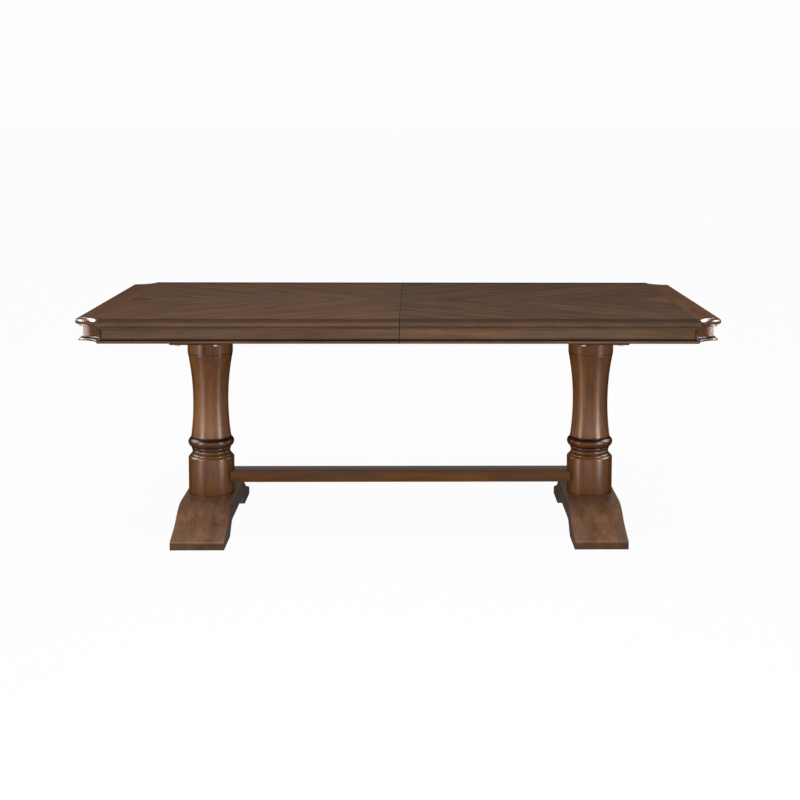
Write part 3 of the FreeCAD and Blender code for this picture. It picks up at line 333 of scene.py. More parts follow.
for part, strength in ((growth, "Bands"), (fibre, "Fibre"), (cloud, "Mottle")):
    tone = sums(figure, "MULTIPLY_ADD", sums(figure, "SUBTRACT", part, 0.5), given[strength], tone)
own_tone = sums(figure, "MULTIPLY", sums(figure, "SUBTRACT", chance["Value"], 0.5), given["Board Contrast"])
tone = add_node(figure, "ShaderNodeClamp", {"Value": sums(figure, "ADD", tone, own_tone)}).outputs[0]
pores = remap(figure, dashes, 0.60, 0.72)
height = sums(figure, "SUBTRACT", sums(figure, "MULTIPLY", fibre, FIBRE_RELIEF),
              sums(figure, "MULTIPLY", pores, PORE_RELIEF))
warmth = remap(figure, noise(figure, scaled(figure, own, *WARMTH), 3.0, 0.6), 0.35, 0.65)
tint = mixed(figure, warmth, COOL, WARM_TINT)
for name, output in (("Tone", tone), ("Pores", pores), ("Height", height), ("Tint", tint)):
    figure.links.new(output, result[name])
print("group:", figure.name, len(figure.nodes), "nodes")

# %% [markdown]
# ## Worn edges, glazed corners and painted shade
#
# A dark glaze is wiped over such a table before the lacquer. It stays in the inner corners and is rubbed
# off the outer edges, which later wear lighter too. Ambient occlusion finds both: rays sent outwards are
# stopped in an inner corner, and rays sent inwards are stopped near an outer edge. The dark it paints into
# the inner corners is painted shade as well as glaze, and the lighter outer edges are a painted highlight
# as well as wear. Painting the edges by hand would also work, but not on twenty pieces at once. A little
# noise breaks the lines up. The cut ends of the mouldings need no rays: the meshes carry a value that is 1
# there, and a third group reads it.

# %% Node group: edges and corners
# The first output lightens outer edges, as wear and a painted highlight; the second darkens inner corners, as
# glaze and painted shade.
wear_and_shade_group, given, result = new_group(
    "Rubbed edges", [("Vector", VECTOR, None), ("Edge Reach", FLOAT, 0.004), ("Corner Reach", FLOAT, 0.010)],
    [("Edges", FLOAT), ("Corners", FLOAT)])
patchy = noise(wear_and_shade_group, scaled(wear_and_shade_group, given["Vector"], 28.0, 28.0, 28.0), 3.0, 0.6)
inward = add_node(wear_and_shade_group, "ShaderNodeAmbientOcclusion", {"Distance": given["Edge Reach"]}, samples=8,
                  inside=True, only_local=True).outputs["AO"]
outward = add_node(wear_and_shade_group, "ShaderNodeAmbientOcclusion", {"Distance": given["Corner Reach"]}, samples=8,
                   only_local=True).outputs["AO"]
edges = remap(wear_and_shade_group, sums(wear_and_shade_group, "SUBTRACT", 1.0, inward), 0.25, 0.75)
edges = sums(wear_and_shade_group, "MULTIPLY", edges, remap(wear_and_shade_group, patchy, 0.30, 0.60, 0.35, 1.0))
corners = remap(wear_and_shade_group, sums(wear_and_shade_group, "SUBTRACT", 1.0, outward), 0.12, 0.60)
wear_and_shade_group.links.new(edges, result["Edges"])
wear_and_shade_group.links.new(corners, result["Corners"])
print("group:", wear_and_shade_group.name, len(wear_and_shade_group.nodes), "nodes")

# %% Node group: dark joints
joints, given, result = new_group("Dark joints", [("Depth", FLOAT, 0.92)], [("Joint", FLOAT)])
marked = add_node(joints, "ShaderNodeAttribute", attribute_name="joint").outputs["Fac"]
joints.links.new(remap(joints, marked, 0.2, 0.7, 0.0, given["Depth"]), result["Joint"])
print("group:", joints.name, len(joints.nodes), "nodes")

# %% [markdown]
# ## The finish on the wood
#
# The table is stained, glazed and lacquered to a satin gloss. Each finish is one Principled shader. The
# figure mixes a dark and a light brown, and the pores darken it. Ambient occlusion darkens the inner
# corners, as glaze and painted shade, and lightens the outer edges, as wear and a painted highlight. The
# joints are nearly black, because end grain drinks more stain, and some pieces get further glaze, painted
# shade and painted reflection by height and place. The shader's plain gloss would be simpler, but it turns
# white on a top that is seen from a low angle, where satin lacquer stays dull. So the gloss is a thin coat
# over a matt base, and Layer Weight turns the coat down as the view gets shallow.

# %% Helpers for finishes
def finish_of(name):
    """A new material and its empty tree."""
    material = bpy.data.materials.new(name)
    material.use_nodes = True
    material.node_tree.nodes.clear()
    return material, material.node_tree


def rgb(*shades):
    """A colour from its three display values, 0 to 255."""
    return tuple(((shade / 255 + 0.055) / 1.055) ** 2.4 for shade in shades) + (1.0,)


def tinted(tree, colour, value, stops):
    """Multiplies a colour by a ramp over a value, for glazing, painted shade and painted reflection that sit
    at known heights of a profile, and for other ramps.
    """
    low, high = stops[0][0], stops[-1][0]
    ramp = add_node(tree, "ShaderNodeValToRGB", {"Fac": remap(tree, value, low, high)})
    while len(ramp.color_ramp.elements) < len(stops):
        ramp.color_ramp.elements.new(0.5)
    for element, (at, shade) in zip(ramp.color_ramp.elements, stops):
        element.position = (at - low) / (high - low)
        element.color = tuple(shade) + (1.0,)
    return mixed(tree, 1.0, colour, ramp.outputs["Color"], "MULTIPLY")


print("a middle brown in linear light:", [round(share, 3) for share in rgb(110, 75, 50)[:3]])


# %% A lacquered wood
def lacquered_wood(name, dark, light, board_width=1.0, wander=1.0, board_contrast=0.3, bands=1.5, fibre=0.9,
                   mottle=0.7, gloss=(0.30, 0.06), fades=(0.45, 0.92), coat_roughness=0.25, edge_reach=0.004,
                   pore_depth=0.35, vector_of=None, glaze_and_shade=None, sheen=()):
    """A stained and lacquered wood, with its grain along the object's own X axis."""
    material, tree = finish_of(name)
    place = add_node(tree, "ShaderNodeTexCoord").outputs["Object"]
    wood = add_node(tree, "ShaderNodeGroup", {
        "Vector": vector_of(tree, place) if vector_of else place, "Board Width": board_width,
        "Wander": wander, "Board Contrast": board_contrast, "Bands": bands, "Fibre": fibre,
        "Mottle": mottle}, node_tree=figure)
    colour = mixed(tree, wood.outputs["Tone"], dark, light)
    colour = mixed(tree, 1.0, colour, wood.outputs["Tint"], "MULTIPLY")
    colour = mixed(tree, sums(tree, "MULTIPLY", wood.outputs["Pores"], pore_depth), colour, rgb(34, 20, 14))
    if edge_reach:
        worn_and_shaded = add_node(tree, "ShaderNodeGroup", {"Vector": place, "Edge Reach": edge_reach},
                          node_tree=wear_and_shade_group)
        # Lighter outer edges are wear and a painted highlight; darker inner corners are glaze and painted
        # shade.
        for mark, share, shade in (("Edges", 0.5, rgb(156, 102, 62)), ("Corners", 0.75, rgb(30, 17, 11))):
            colour = mixed(tree, sums(tree, "MULTIPLY", worn_and_shaded.outputs[mark], share), colour, shade)
    joint = add_node(tree, "ShaderNodeGroup", node_tree=joints).outputs["Joint"]
    colour = mixed(tree, joint, colour, rgb(16, 9, 6))
    # The piece's own glaze, painted shade and painted reflection, which go by height, direction and place.
    if glaze_and_shade:
        colour = glaze_and_shade(tree, place, colour)
    shallow = add_node(tree, "ShaderNodeLayerWeight", {"Blend": 0.5}).outputs["Facing"]
    coat = remap(tree, shallow, fades[0], fades[1], gloss[0], gloss[1])
    if sheen:
        coat = tinted(tree, coat, parts_of(tree, place)["X"], [(at, (share,) * 3) for at, share in sheen])
    rough = sums(tree, "MULTIPLY_ADD", wood.outputs["Pores"], 0.2, 0.5)
    bump = add_node(tree, "ShaderNodeBump",
                    {"Strength": 0.2, "Distance": 0.0001, "Height": wood.outputs["Height"]})
    shader = add_node(tree, "ShaderNodeBsdfPrincipled", {
        "Base Color": colour, "Roughness": rough, "Specular IOR Level": 0.0, "Coat Weight": coat,
        "Coat Roughness": coat_roughness, "Coat IOR": 1.5, "Normal": bump.outputs["Normal"]})
    add_node(tree, "ShaderNodeOutputMaterial", {"Surface": shader.outputs[0]})
    return material


print("finish helper:", lacquered_wood.__name__)


# %% Glazes, painted shade and painted reflection by height
def height_glaze_and_shade(stops, upright="Z"):
    """Darkens by height along the piece's own upright axis, from (height, shade) stops in metres: glazing,
    painted shade and painted reflection.
    """
    def paint(tree, place, colour):
        return tinted(tree, colour, parts_of(tree, place)[upright], stops)
    return paint


BARE, WARM, HALF_DARK = (1.0, 1.0, 1.0), (0.76, 0.60, 0.42), (0.58, 0.50, 0.42)
DARK, DARKER, BLACK = (0.40, 0.32, 0.24), (0.26, 0.19, 0.12), (0.16, 0.11, 0.08)
SIDE_STAIN_AND_SHADE = (0.42, 0.38, 0.34)
DRUM_TONE, TOP_TONE = (0.66, 0.60, 0.54), (0.76, 0.72, 0.68)
FRIEZE_TONE, LIP_TONE = (0.90, 0.89, 0.86), (0.76, 0.72, 0.62)
CAP_TONE, NECK_SHADE = (0.84, 0.84, 0.86), (0.34, 0.28, 0.22)
# From the fillet up the moulding turns greyer and then dark: a painted reflection, grey on the front of the
# bullnose and dark on its top, partly a dark glaze. Underneath it is darker and warmer.
moulding_glaze_and_reflection = height_glaze_and_shade([
    (-0.0135, WARM), (-0.0060, WARM), (-0.0030, (0.86, 0.86, 0.86)), (0.0020, (0.70, 0.77, 0.85)),
    (0.0045, (0.55, 0.60, 0.66)), (0.0070, (0.42, 0.45, 0.49)), (0.0088, DARKER), (0.0125, DARKER),
    (0.0135, DARK)])
# The frieze darkens towards its bottom edge above the cove, which is painted shade. It is warmer at the top,
# under the moulding.
frieze_tone_and_shade = height_glaze_and_shade([
    (-0.0155, HALF_DARK), (-0.0100, FRIEZE_TONE), (0.0120, FRIEZE_TONE), (0.0155, WARM)])
# The upward cove above the lip is nearly black, as glaze and painted shade.
lip_glaze_and_shade = height_glaze_and_shade([(-0.0065, LIP_TONE), (0.0010, LIP_TONE), (0.0016, BLACK), (0.0065, BLACK)])
# The dark lines at the foot and top edge of the drum, in the grooves, above the ring and under the collar,
# and the dark neck and underside of the ring, are painted shade with glaze. The drum, the top of the waist
# and the collar get darker tones of their own.
column_glaze_and_shade = height_glaze_and_shade([
    (-0.2775, DARK), (-0.2735, DRUM_TONE), (-0.1580, DRUM_TONE), (-0.1555, DARK), (-0.1500, BARE),
    (-0.1430, DARK), (-0.1410, BARE), (-0.1290, NECK_SHADE), (-0.1180, NECK_SHADE),
    (-0.1010, (0.46, 0.38, 0.30)), (-0.0890, BLACK), (-0.0840, HALF_DARK), (-0.0740, BARE), (0.0100, BARE),
    (0.0900, TOP_TONE), (0.1984, TOP_TONE), (0.2012, BLACK), (0.2039, CAP_TONE), (0.2700, CAP_TONE),
    (0.2775, HALF_DARK)], "X")
column_sheen = ((-0.2775, 0.66), (-0.1555, 0.66), (-0.1500, 0.60), (-0.0890, 0.60), (-0.0500, 0.85),
                (0.0500, 0.66), (0.1900, 0.50), (0.2012, 0.50), (0.2039, 0.34), (0.2775, 0.34))
print("stops of the column's sheen:", len(column_sheen))


# %% Stain, glaze and painted shade by direction and place
def stained_and_shaded_sides(tree, place, colour):
    """Sawn sides and end grain drink more stain than the planed top; the darker sides are also painted shade.
    """
    normal = add_node(tree, "ShaderNodeTexCoord").outputs["Normal"]
    upward = sums(tree, "ABSOLUTE", parts_of(tree, normal)["Z"])
    return tinted(tree, colour, upward, [(0.0, SIDE_STAIN_AND_SHADE), (0.25, SIDE_STAIN_AND_SHADE), (0.6, BARE)])


# The bar turns black where it goes into the drums: a painted shadow of the mortise, with glaze.
BARE_UP_TO, SHADE_FROM, SHADE_FULL, BAR_END = 0.54, 0.5762, 0.5788, 0.58


def shaded_bar_ends(tree, place, colour):
    """Painted shadow, with glazing, where the bar goes into its mortises."""
    reach = sums(tree, "ABSOLUTE", parts_of(tree, place)["X"])
    return tinted(tree, colour, reach, [
        (BARE_UP_TO, BARE), (SHADE_FROM, BARE), (SHADE_FULL, BLACK), (BAR_END, BLACK)])


print("the bar is black from", SHADE_FULL, "m out")


# %% Woods of the table
def stacked(tree, place):
    """Turns the place about the grain, so that the glued boards stand side by side along the table."""
    return turned(tree, place, 90, "X")


# The glaze, painted shade and painted reflection of each course, and how much its scooped corners shine
CORNER_SHINE = {"moulding": (moulding_glaze_and_reflection, 0.40), "frieze": (frieze_tone_and_shade, 0.27),
                "lip": (lip_glaze_and_shade, 0.40)}
edge_finish = {}
for kind, (glaze_and_shade, shine) in CORNER_SHINE.items():
    edge_finish[kind] = lacquered_wood(kind + " wood", rgb(80, 56, 39), rgb(136, 104, 78),
                                       gloss=(0.18, 0.05), glaze_and_shade=glaze_and_shade)
    edge_finish[kind + " corner"] = lacquered_wood(kind + " corner wood", rgb(88, 52, 27), rgb(136, 88, 50),
                                                   gloss=(shine, shine), coat_roughness=0.22, glaze_and_shade=glaze_and_shade)
bar_wood = lacquered_wood("bar wood", rgb(82, 52, 33), rgb(132, 92, 60), gloss=(0.05, 0.3), glaze_and_shade=shaded_bar_ends)
column_wood = lacquered_wood("column wood", rgb(80, 46, 20), rgb(150, 97, 51), board_width=0.045, bands=1.2,
                             board_contrast=0.22, gloss=(0.75, 0.03), fades=(0.15, 0.6), coat_roughness=0.28,
                             vector_of=stacked, glaze_and_shade=column_glaze_and_shade, sheen=column_sheen)
# The feet get a lighter brown, which makes up for the shade that the top casts on them: painted light.
foot_wood_lightened = lacquered_wood("foot wood", rgb(83, 57, 41), rgb(150, 113, 88), wander=0.4, board_contrast=0.1,
                           bands=1.3, mottle=0.25, fibre=0.7, gloss=(0.30, 0.05), edge_reach=0.007,
                           pore_depth=0.12, glaze_and_shade=stained_and_shaded_sides)
print("wood finishes:", [finish.name for finish in (*edge_finish.values(), bar_wood, column_wood, foot_wood_lightened)])

# %% [markdown]
# ## The matched top
#
# The top is veneered in four quarters whose grain runs at an angle and meets in mirror image at the seam
# and at the middle line, with a border at each end whose grain runs across. Four materials, one for each
# quarter, would do, but their figures would not meet. Folding the coordinates at both lines and then turning
# them lays all four quarters at once, in true mirror image. A glaze that goes by the place on the table
# darkens the two long edges and the line of the seam.

# %% Veneers of the top
QUARTER_TURN = 38


def folded(tree, place):
    """Folds the place at both middle lines, then turns it to run along the slanted grain."""
    parts = parts_of(tree, place)
    fold = add_node(tree, "ShaderNodeCombineXYZ", {
        "X": sums(tree, "ABSOLUTE", parts["X"]), "Y": sums(tree, "ABSOLUTE", parts["Y"]), "Z": parts["Z"]})
    return turned(tree, fold.outputs[0], -QUARTER_TURN, "Z")


def crosswise(tree, place):
    """Turns the place by a quarter, for grain along Y."""
    return turned(tree, place, 90, "Z")


def veneer_glaze(tree, place, colour):
    """The leaves' own tones along the table, a dark line at the seam and a strip along both long edges."""
    parts = parts_of(tree, place)
    colour = tinted(tree, colour, parts["X"], [
        (-1.0, (0.80, 0.82, 0.85)), (-0.10, (0.84, 0.88, 0.92)), (-0.04, (0.74, 0.81, 0.84)),
        (0.04, (0.76, 0.84, 0.84)), (0.12, (0.83, 0.87, 0.88)), (0.60, (0.78, 0.82, 0.83)),
        (1.0, (0.88, 0.88, 0.89))])
    colour = tinted(tree, colour, sums(tree, "ABSOLUTE", parts["X"]), [
        (0.0, BLACK), (0.0006, BLACK), (0.0010, BARE), (0.003, BARE)])
    return tinted(tree, colour, sums(tree, "ABSOLUTE", parts["Y"]), [
        (0.46, BARE), (0.480, BARE), (0.486, HALF_DARK), (0.510, DARK), (0.523, DARKER), (0.53, DARKER)])


field_veneer = lacquered_wood("field veneer", rgb(62, 40, 26), rgb(116, 82, 58), wander=1.3, bands=0.9,
                              fibre=1.6, mottle=0.6, gloss=(0.25, 0.04), edge_reach=0.0, pore_depth=0.2,
                              vector_of=folded, glaze_and_shade=veneer_glaze)
band_veneer = lacquered_wood("band veneer", rgb(79, 49, 31), rgb(119, 81, 54), wander=0.6, bands=1.1,
                             gloss=(0.25, 0.04), edge_reach=0.0, pore_depth=0.2, vector_of=crosswise,
                             glaze_and_shade=veneer_glaze)
print("veneers:", field_veneer.name, band_veneer.name)

# %% [markdown]
# ## Outlines and pieces
#
# Mouldings, frieze and lip are all one thing: a section that is carried along the edge. A section is
# written as its corners, each with the radius of its rounding, and the helper below puts in the arcs. A
# piece keeps its own axes, with X along its grain, so one wood finish fits them all.

# %% Helpers for outlines
def rounded(corners, steps=5):
    """A closed outline from (x, y, radius) corners, with an arc of points at each rounded one."""
    points = []
    for number, (x, y, radius) in enumerate(corners):
        here = Vector((x, y))
        if not radius:
            points.append(here)
            continue
        before = (Vector(corners[number - 1][:2]) - here).normalized()
        after = (Vector(corners[(number + 1) % len(corners)][:2]) - here).normalized()
        half = before.angle(after) / 2
        middle = here + (before + after).normalized() * (radius / math.sin(half))
        first = here + before * (radius / math.tan(half)) - middle
        last = here + after * (radius / math.tan(half)) - middle
        turn = first.angle_signed(last)
        count = max(2, round(steps * abs(turn) / (math.pi / 2)))
        for step in range(count + 1):
            spoke = first.copy()
            spoke.rotate(Matrix.Rotation(-turn * step / count, 2))
            points.append(middle + spoke)
    return points


def arc_between(start, end, bow, steps):
    """Points after the start of an arc that bows to the right by a share of half its length."""
    start, end = Vector(start), Vector(end)
    if not bow:
        return [end]
    half = (end - start) / 2
    right = Vector((half.y, -half.x))
    turn = 4 * math.atan(bow)
    centre = start + half - right * (1 - bow ** 2) / (2 * bow)
    points = []
    for step in range(1, steps + 1):
        spoke = start - centre
        spoke.rotate(Matrix.Rotation(turn * step / steps, 2))
        points.append(centre + spoke)
    return points


test = rounded([(0, 0, 0.1), (1, 0, 0), (1, 1, 0)])
print("outline of", len(test), "points; half round ends at", arc_between((0, 0), (2, 0), 1.0, 8)[-1])

# %% Helper for pieces
made_pieces = []


def new_piece(name, points, faces, along, body, node, material, slot, sharp_above=32, joint=(),
              own_axes=True):
    """An object from points in the table's frame. Its own X axis runs along its grain, unless it keeps the
    table's axes. The joint values are one for each point, and 1 is a cut end."""
    ahead = Vector(along).normalized()
    side = Vector((0, 0, 1)).cross(ahead) if abs(ahead.z) < 0.9 else Vector((0, 1, 0))
    low = Vector([min(point[axis] for point in points) for axis in range(3)])
    high = Vector([max(point[axis] for point in points) for axis in range(3)])
    axes = Matrix((ahead, side.normalized(), ahead.cross(side.normalized()))).transposed().to_4x4()
    stand = Matrix.Translation((low + high) / 2) @ axes if own_axes else Matrix.Identity(4)
    mesh = bpy.data.meshes.new(name)
    mesh.from_pydata([tuple(point) for point in points], [], faces)
    mesh.transform(stand.inverted())
    if joint:
        mesh.attributes.new("joint", "FLOAT", "POINT").data.foreach_set("value", joint)
    shape = bmesh.new()
    shape.from_mesh(mesh)
    bmesh.ops.remove_doubles(shape, verts=shape.verts, dist=1e-6)
    bmesh.ops.recalc_face_normals(shape, faces=shape.faces)
    shape.to_mesh(mesh)
    shape.free()
    mesh.shade_smooth()
    mesh.set_sharp_from_angle(angle=math.radians(sharp_above))
    mesh.materials.append(material)
    item = bpy.data.objects.new(name, mesh)
    scene.collection.objects.link(item)
    item.matrix_world = stand
    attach(item, body)
    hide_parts(node)
    made_pieces.append(item)
    return item


print("piece helper:", new_piece.__name__)

# %% [markdown]
# ## Mouldings, frieze and lip
#
# The edge of each half is a bullnose moulding, a plain frieze under it and a stepped lip at the bottom.
# Each runs along the front, round a scooped corner, across the end, and back. On the real table these are
# separate lengths that are mitred at the sharp corners. A curve with a bevel shape could carry a section
# too, but it can't cut its ends on a mitre. So each length is a mesh of its own, carried along its stretch
# of the edge up to where it meets the next. Its cut ends are marked as joints, and one more ring of points
# close to each end lets the dark of the joint fade out within a few millimetres.

# %% Sizes of the top
HALF_LENGTH, HALF_WIDTH, TOP_HEIGHT = 0.9905, 0.5335, 0.762
SCOOP = 0.070
HALF_SEAM = 0.00003
VENEER_LOW, BULLNOSE_LOW, MOULDING_LOW = 0.761, 0.741, 0.735
FRIEZE_LOW, COVE_LOW, LIP_LOW = 0.704, 0.699, 0.691
# How far the parts of a section lie behind the outermost line of the edge, and the radii of its roundings
BULLNOSE, FRIEZE_INSET, LIP_INSET, INNER = 0.0105, 0.0195, 0.0075, 0.0375
ARRIS, LIP_ROUND, COVE_BOW = 0.0008, 0.0029, -0.35

moulding_section = rounded([
    (INNER, VENEER_LOW, 0), (BULLNOSE, VENEER_LOW, 0), (BULLNOSE, TOP_HEIGHT, 0),
    (0.0, TOP_HEIGHT, BULLNOSE), (0.0, BULLNOSE_LOW, BULLNOSE), (BULLNOSE, BULLNOSE_LOW, 0),
    (BULLNOSE, MOULDING_LOW, ARRIS), (INNER, MOULDING_LOW, 0)], 12)
frieze_section = rounded([(INNER, MOULDING_LOW, 0), (FRIEZE_INSET, MOULDING_LOW, 0),
                          (FRIEZE_INSET, FRIEZE_LOW, 0), (INNER, FRIEZE_LOW, 0)])
cove = [Vector((FRIEZE_INSET, FRIEZE_LOW))]
cove += arc_between((FRIEZE_INSET, FRIEZE_LOW), (BULLNOSE, COVE_LOW), COVE_BOW, 6)
lip_section = cove + rounded([
    (BULLNOSE, COVE_LOW, 0), (LIP_INSET, COVE_LOW, LIP_ROUND), (LIP_INSET, LIP_LOW, LIP_ROUND),
    (INNER, LIP_LOW, 0)])[1:] + [Vector((INNER, FRIEZE_LOW))]
print("section points:", len(moulding_section), len(frieze_section), len(lip_section))


# %% Carry a section along the edge
def carried(section, stations):
    """A closed tube through the section at every station, with a flat face at each end."""
    count = len(section)
    points = [station(inset, height) for station in stations for inset, height in section]
    faces = []
    for ring in range(len(stations) - 1):
        for number in range(count):
            after = (number + 1) % count
            base, above = ring * count, (ring + 1) * count
            faces.append((base + number, base + after, above + after, above + number))
    faces.append(tuple(range(count)))
    faces.append(tuple(reversed(range(len(points) - count, len(points)))))
    return points, faces


print("faces of a short tube:", len(carried(frieze_section, [lambda x, z: (0, x, z)] * 2)[1]))


# %% Stations along the edge
def past_mitre(inset):
    """How far from the sharp corner's own lines a straight length ends at a given inset."""
    return math.sqrt((SCOOP + inset) ** 2 - inset ** 2)


JOINT_FADE, SEAM_FADE, CORNER_FADE_SHARE = 0.005, 0.0025, 0.04


def straight(first, last, near=JOINT_FADE):
    """Stations of a straight length, with one more near each end, where the dark of the joint fades out."""
    def at(share):
        def place(inset, height):
            start, end = Vector(first(inset, height)), Vector(last(inset, height))
            return start.lerp(end, share)
        return place
    length = (Vector(last(0, 0)) - Vector(first(0, 0))).length
    return [at(0.0), at(near / length), at(1.0 - JOINT_FADE / length), at(1.0)]


print("a straight length ends", round(past_mitre(0.0), 4), "m from the corner, and",
      round(past_mitre(INNER), 4), "m at its back")


# %% Stations of each length
def front_stations():
    """From the seam to the mitre along the front."""
    return straight(lambda inset, height: (-HALF_SEAM, inset - HALF_WIDTH, height),
                    lambda inset, height: (past_mitre(inset) - HALF_LENGTH, inset - HALF_WIDTH, height),
                    SEAM_FADE)


def corner_stations(steps=20):
    """Stations round the scooped corner, from one mitre to the other."""
    def at(share):
        def place(inset, height):
            radius = SCOOP + inset
            mitre = math.asin(inset / radius)
            angle = mitre + share * (math.pi / 2 - 2 * mitre)
            return radius * math.cos(angle) - HALF_LENGTH, radius * math.sin(angle) - HALF_WIDTH, height
        return place
    inside = [step / steps for step in range(1, steps)]
    return [at(share) for share in [0.0, CORNER_FADE_SHARE] + inside + [1.0 - CORNER_FADE_SHARE, 1.0]]


def end_stations():
    """From mitre to mitre across the end."""
    return straight(lambda inset, height: (inset - HALF_LENGTH, past_mitre(inset) - HALF_WIDTH, height),
                    lambda inset, height: (inset - HALF_LENGTH, HALF_WIDTH - past_mitre(inset), height))


def mirrored(stations):
    """The same stations on the rear side."""
    def flip(station):
        def place(inset, height):
            x, y, z = station(inset, height)
            return x, -y, z
        return place
    return [flip(station) for station in stations]


print("stations:", len(front_stations()), "on a straight length,", len(corner_stations()), "round a corner")

# %% Ten lengths of each course
LENGTHS = {
    "front": (front_stations(), (1, 0, 0), False),
    "front_corner": (corner_stations(), (1, -1, 0), True),
    "end": (end_stations(), (0, 1, 0), False),
    "rear_corner": (mirrored(corner_stations()), (1, 1, 0), True),
    "rear": (mirrored(front_stations()), (1, 0, 0), False),
}
OTHER_SIDE = {"front": "rear", "front_corner": "rear_corner", "end": "end", "rear_corner": "front_corner",
              "rear": "front"}


def edge_course(kind, section, node_of):
    """All ten lengths of one section, five on each half. The right half is the left one turned round."""
    for side, sign in SIDES:
        for length, (stations, along, is_corner) in LENGTHS.items():
            points, faces = carried(section, stations)
            points = [(-sign * x, -sign * y, z) for x, y, z in points]
            cut_end = [1.0] * len(section)
            joint = cut_end + [0.0] * (len(points) - 2 * len(section)) + cut_end
            where = length if side == "left" else OTHER_SIDE[length]
            new_piece("%s_%s_%s" % (side, where, kind), points, faces, along, side + "_top",
                      side + "_" + node_of(where), edge_finish[kind + " corner" if is_corner else kind],
                      "edge_wood", 28, joint)


edge_course("moulding", moulding_section, lambda length: "edge_moulding")
edge_course("frieze", frieze_section,
            lambda length: "corner_blocks" if "corner" in length else length + "_apron")
edge_course("lip", lip_section, lambda length: "apron_lip")
print("pieces so far:", len(made_pieces))

# %% [markdown]
# ## The veneer leaves of the top
#
# Each half of the top carries two leaves of veneer, whose grain meets in mirror image on the middle line.
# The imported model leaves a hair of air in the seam, so that the halves can be drawn apart, and a camera
# straight above would see the white floor through it. On the real table the leaves touch and their edges
# are eased with a file, which is the dark line. So the leaves are made again here, with that small chamfer.
# They keep the table's axes, because their grain folds at the table's own middle lines.

# %% Veneer leaves
EASED = 0.0004
band_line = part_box("left_field_veneer")[0][0]
leaf_section = [(band_line, VENEER_LOW), (-HALF_SEAM, VENEER_LOW), (-HALF_SEAM, TOP_HEIGHT - EASED),
                (-EASED, TOP_HEIGHT), (band_line, TOP_HEIGHT)]
print("the end band starts at", round(-band_line, 4), "m from the seam")
for side, sign in SIDES:
    points = [(-sign * x, y, z) for y in (BULLNOSE - HALF_WIDTH, HALF_WIDTH - BULLNOSE)
              for x, z in leaf_section]
    faces = [(0, 1, 2, 3, 4), (9, 8, 7, 6, 5)]
    faces += [(n, n + 5, (n + 1) % 5 + 5, (n + 1) % 5) for n in range(5)]
    leaves = new_piece(side + "_veneer_leaves", points, faces, (1, 0, 0), side + "_top",
                       side + "_field_veneer", field_veneer, "top_veneer", 25, own_axes=False)
    print(leaves.name, len(leaves.data.polygons), "faces")

# %% [markdown]
# ## The turned columns
#
# Each column is one turning: a drum at the foot, a chamfer and two beads, a fat ring, a long waist and a
# plain collar under the board. Its outline is a table of radii and heights, as a turner would mark them on
# a stick, with a bow for each curved stretch. Blender's Screw modifier would turn an outline too, but the
# helper for pieces takes points and faces, and a short loop gives those. The drum has a flat-bottomed
# mortise for the stretcher, which is cut with a boolean, because a turning can't have it.

# %% Outline of the columns
DRUM, COLUMN_LOW, COLUMN_TALL = 0.0772, 0.102, 0.555
MORTISE_FACE, MORTISE_BOTTOM = 0.066, 0.090
MORTISE_HALF_WIDE, MORTISE_LOW, MORTISE_HIGH = 0.0415, 0.1425, 0.1805
# Radius as a share of the drum's, height as a share of the column's, and the bow of the curve that follows
TURNING = [
    (1.000, 0.0000, 0.0), (1.000, 0.2195, 0.20), (0.940, 0.2315, 0.0), (0.904, 0.2339, 0.25),
    (0.845, 0.2459, 0.0), (0.816, 0.2483, 0.32), (0.798, 0.2672, 0.0), (0.802, 0.2706, 0.0),
    (0.850, 0.2730, 0.08), (0.858, 0.2829, 0.0), (0.847, 0.2858, 0.0), (0.868, 0.2872, 0.278),
    (1.001, 0.3180, 0.30), (0.872, 0.3432, 0.0), (0.854, 0.3445, 0.0), (0.854, 0.3477, 0.0),
    (0.877, 0.3499, 0.10), (0.866, 0.3587, 0.0), (0.861, 0.3631, -0.0321), (0.766, 0.5690, -0.0503),
    (0.971, 0.8600, 0.0), (0.966, 0.8640, 0.0), (0.984, 0.8680, 0.0), (0.984, 1.0000, 0.0),
]


def turned_outline():
    """The column's outline from its foot up, as (radius, height) points."""
    marks = [(DRUM * wide, COLUMN_LOW + COLUMN_TALL * high, bow) for wide, high, bow in TURNING]
    points = [Vector(marks[0][:2])]
    for here, there in zip(marks, marks[1:]):
        length = math.dist(here[:2], there[:2])
        points += arc_between(here[:2], there[:2], here[2], 10 if length < 0.06 else 30)
    return points


print("points up the column:", len(turned_outline()))


# %% Turn the columns
def turned_column(name, x, body, node, sides=96):
    """A lathe turning about an upright axis."""
    outline = turned_outline()
    points = []
    faces = []
    for radius, height in outline:
        for step in range(sides):
            angle = 2 * math.pi * (step + 0.5) / sides
            points.append((x + radius * math.cos(angle), radius * math.sin(angle), height))
    for ring in range(len(outline) - 1):
        for step in range(sides):
            after = (step + 1) % sides
            base, above = ring * sides, (ring + 1) * sides
            faces.append((base + step, base + after, above + after, above + step))
    faces.append(tuple(reversed(range(sides))))
    faces.append(tuple(range(len(points) - sides, len(points))))
    return new_piece(name, points, faces, (0, 0, 1), body, node, column_wood, "pedestal_wood", 30)


columns = {side: turned_column(side + "_turned_column", sign * PEDESTAL, "base", side + "_column")
           for side, sign in SIDES}
print("columns:", [column.name for column in columns.values()])


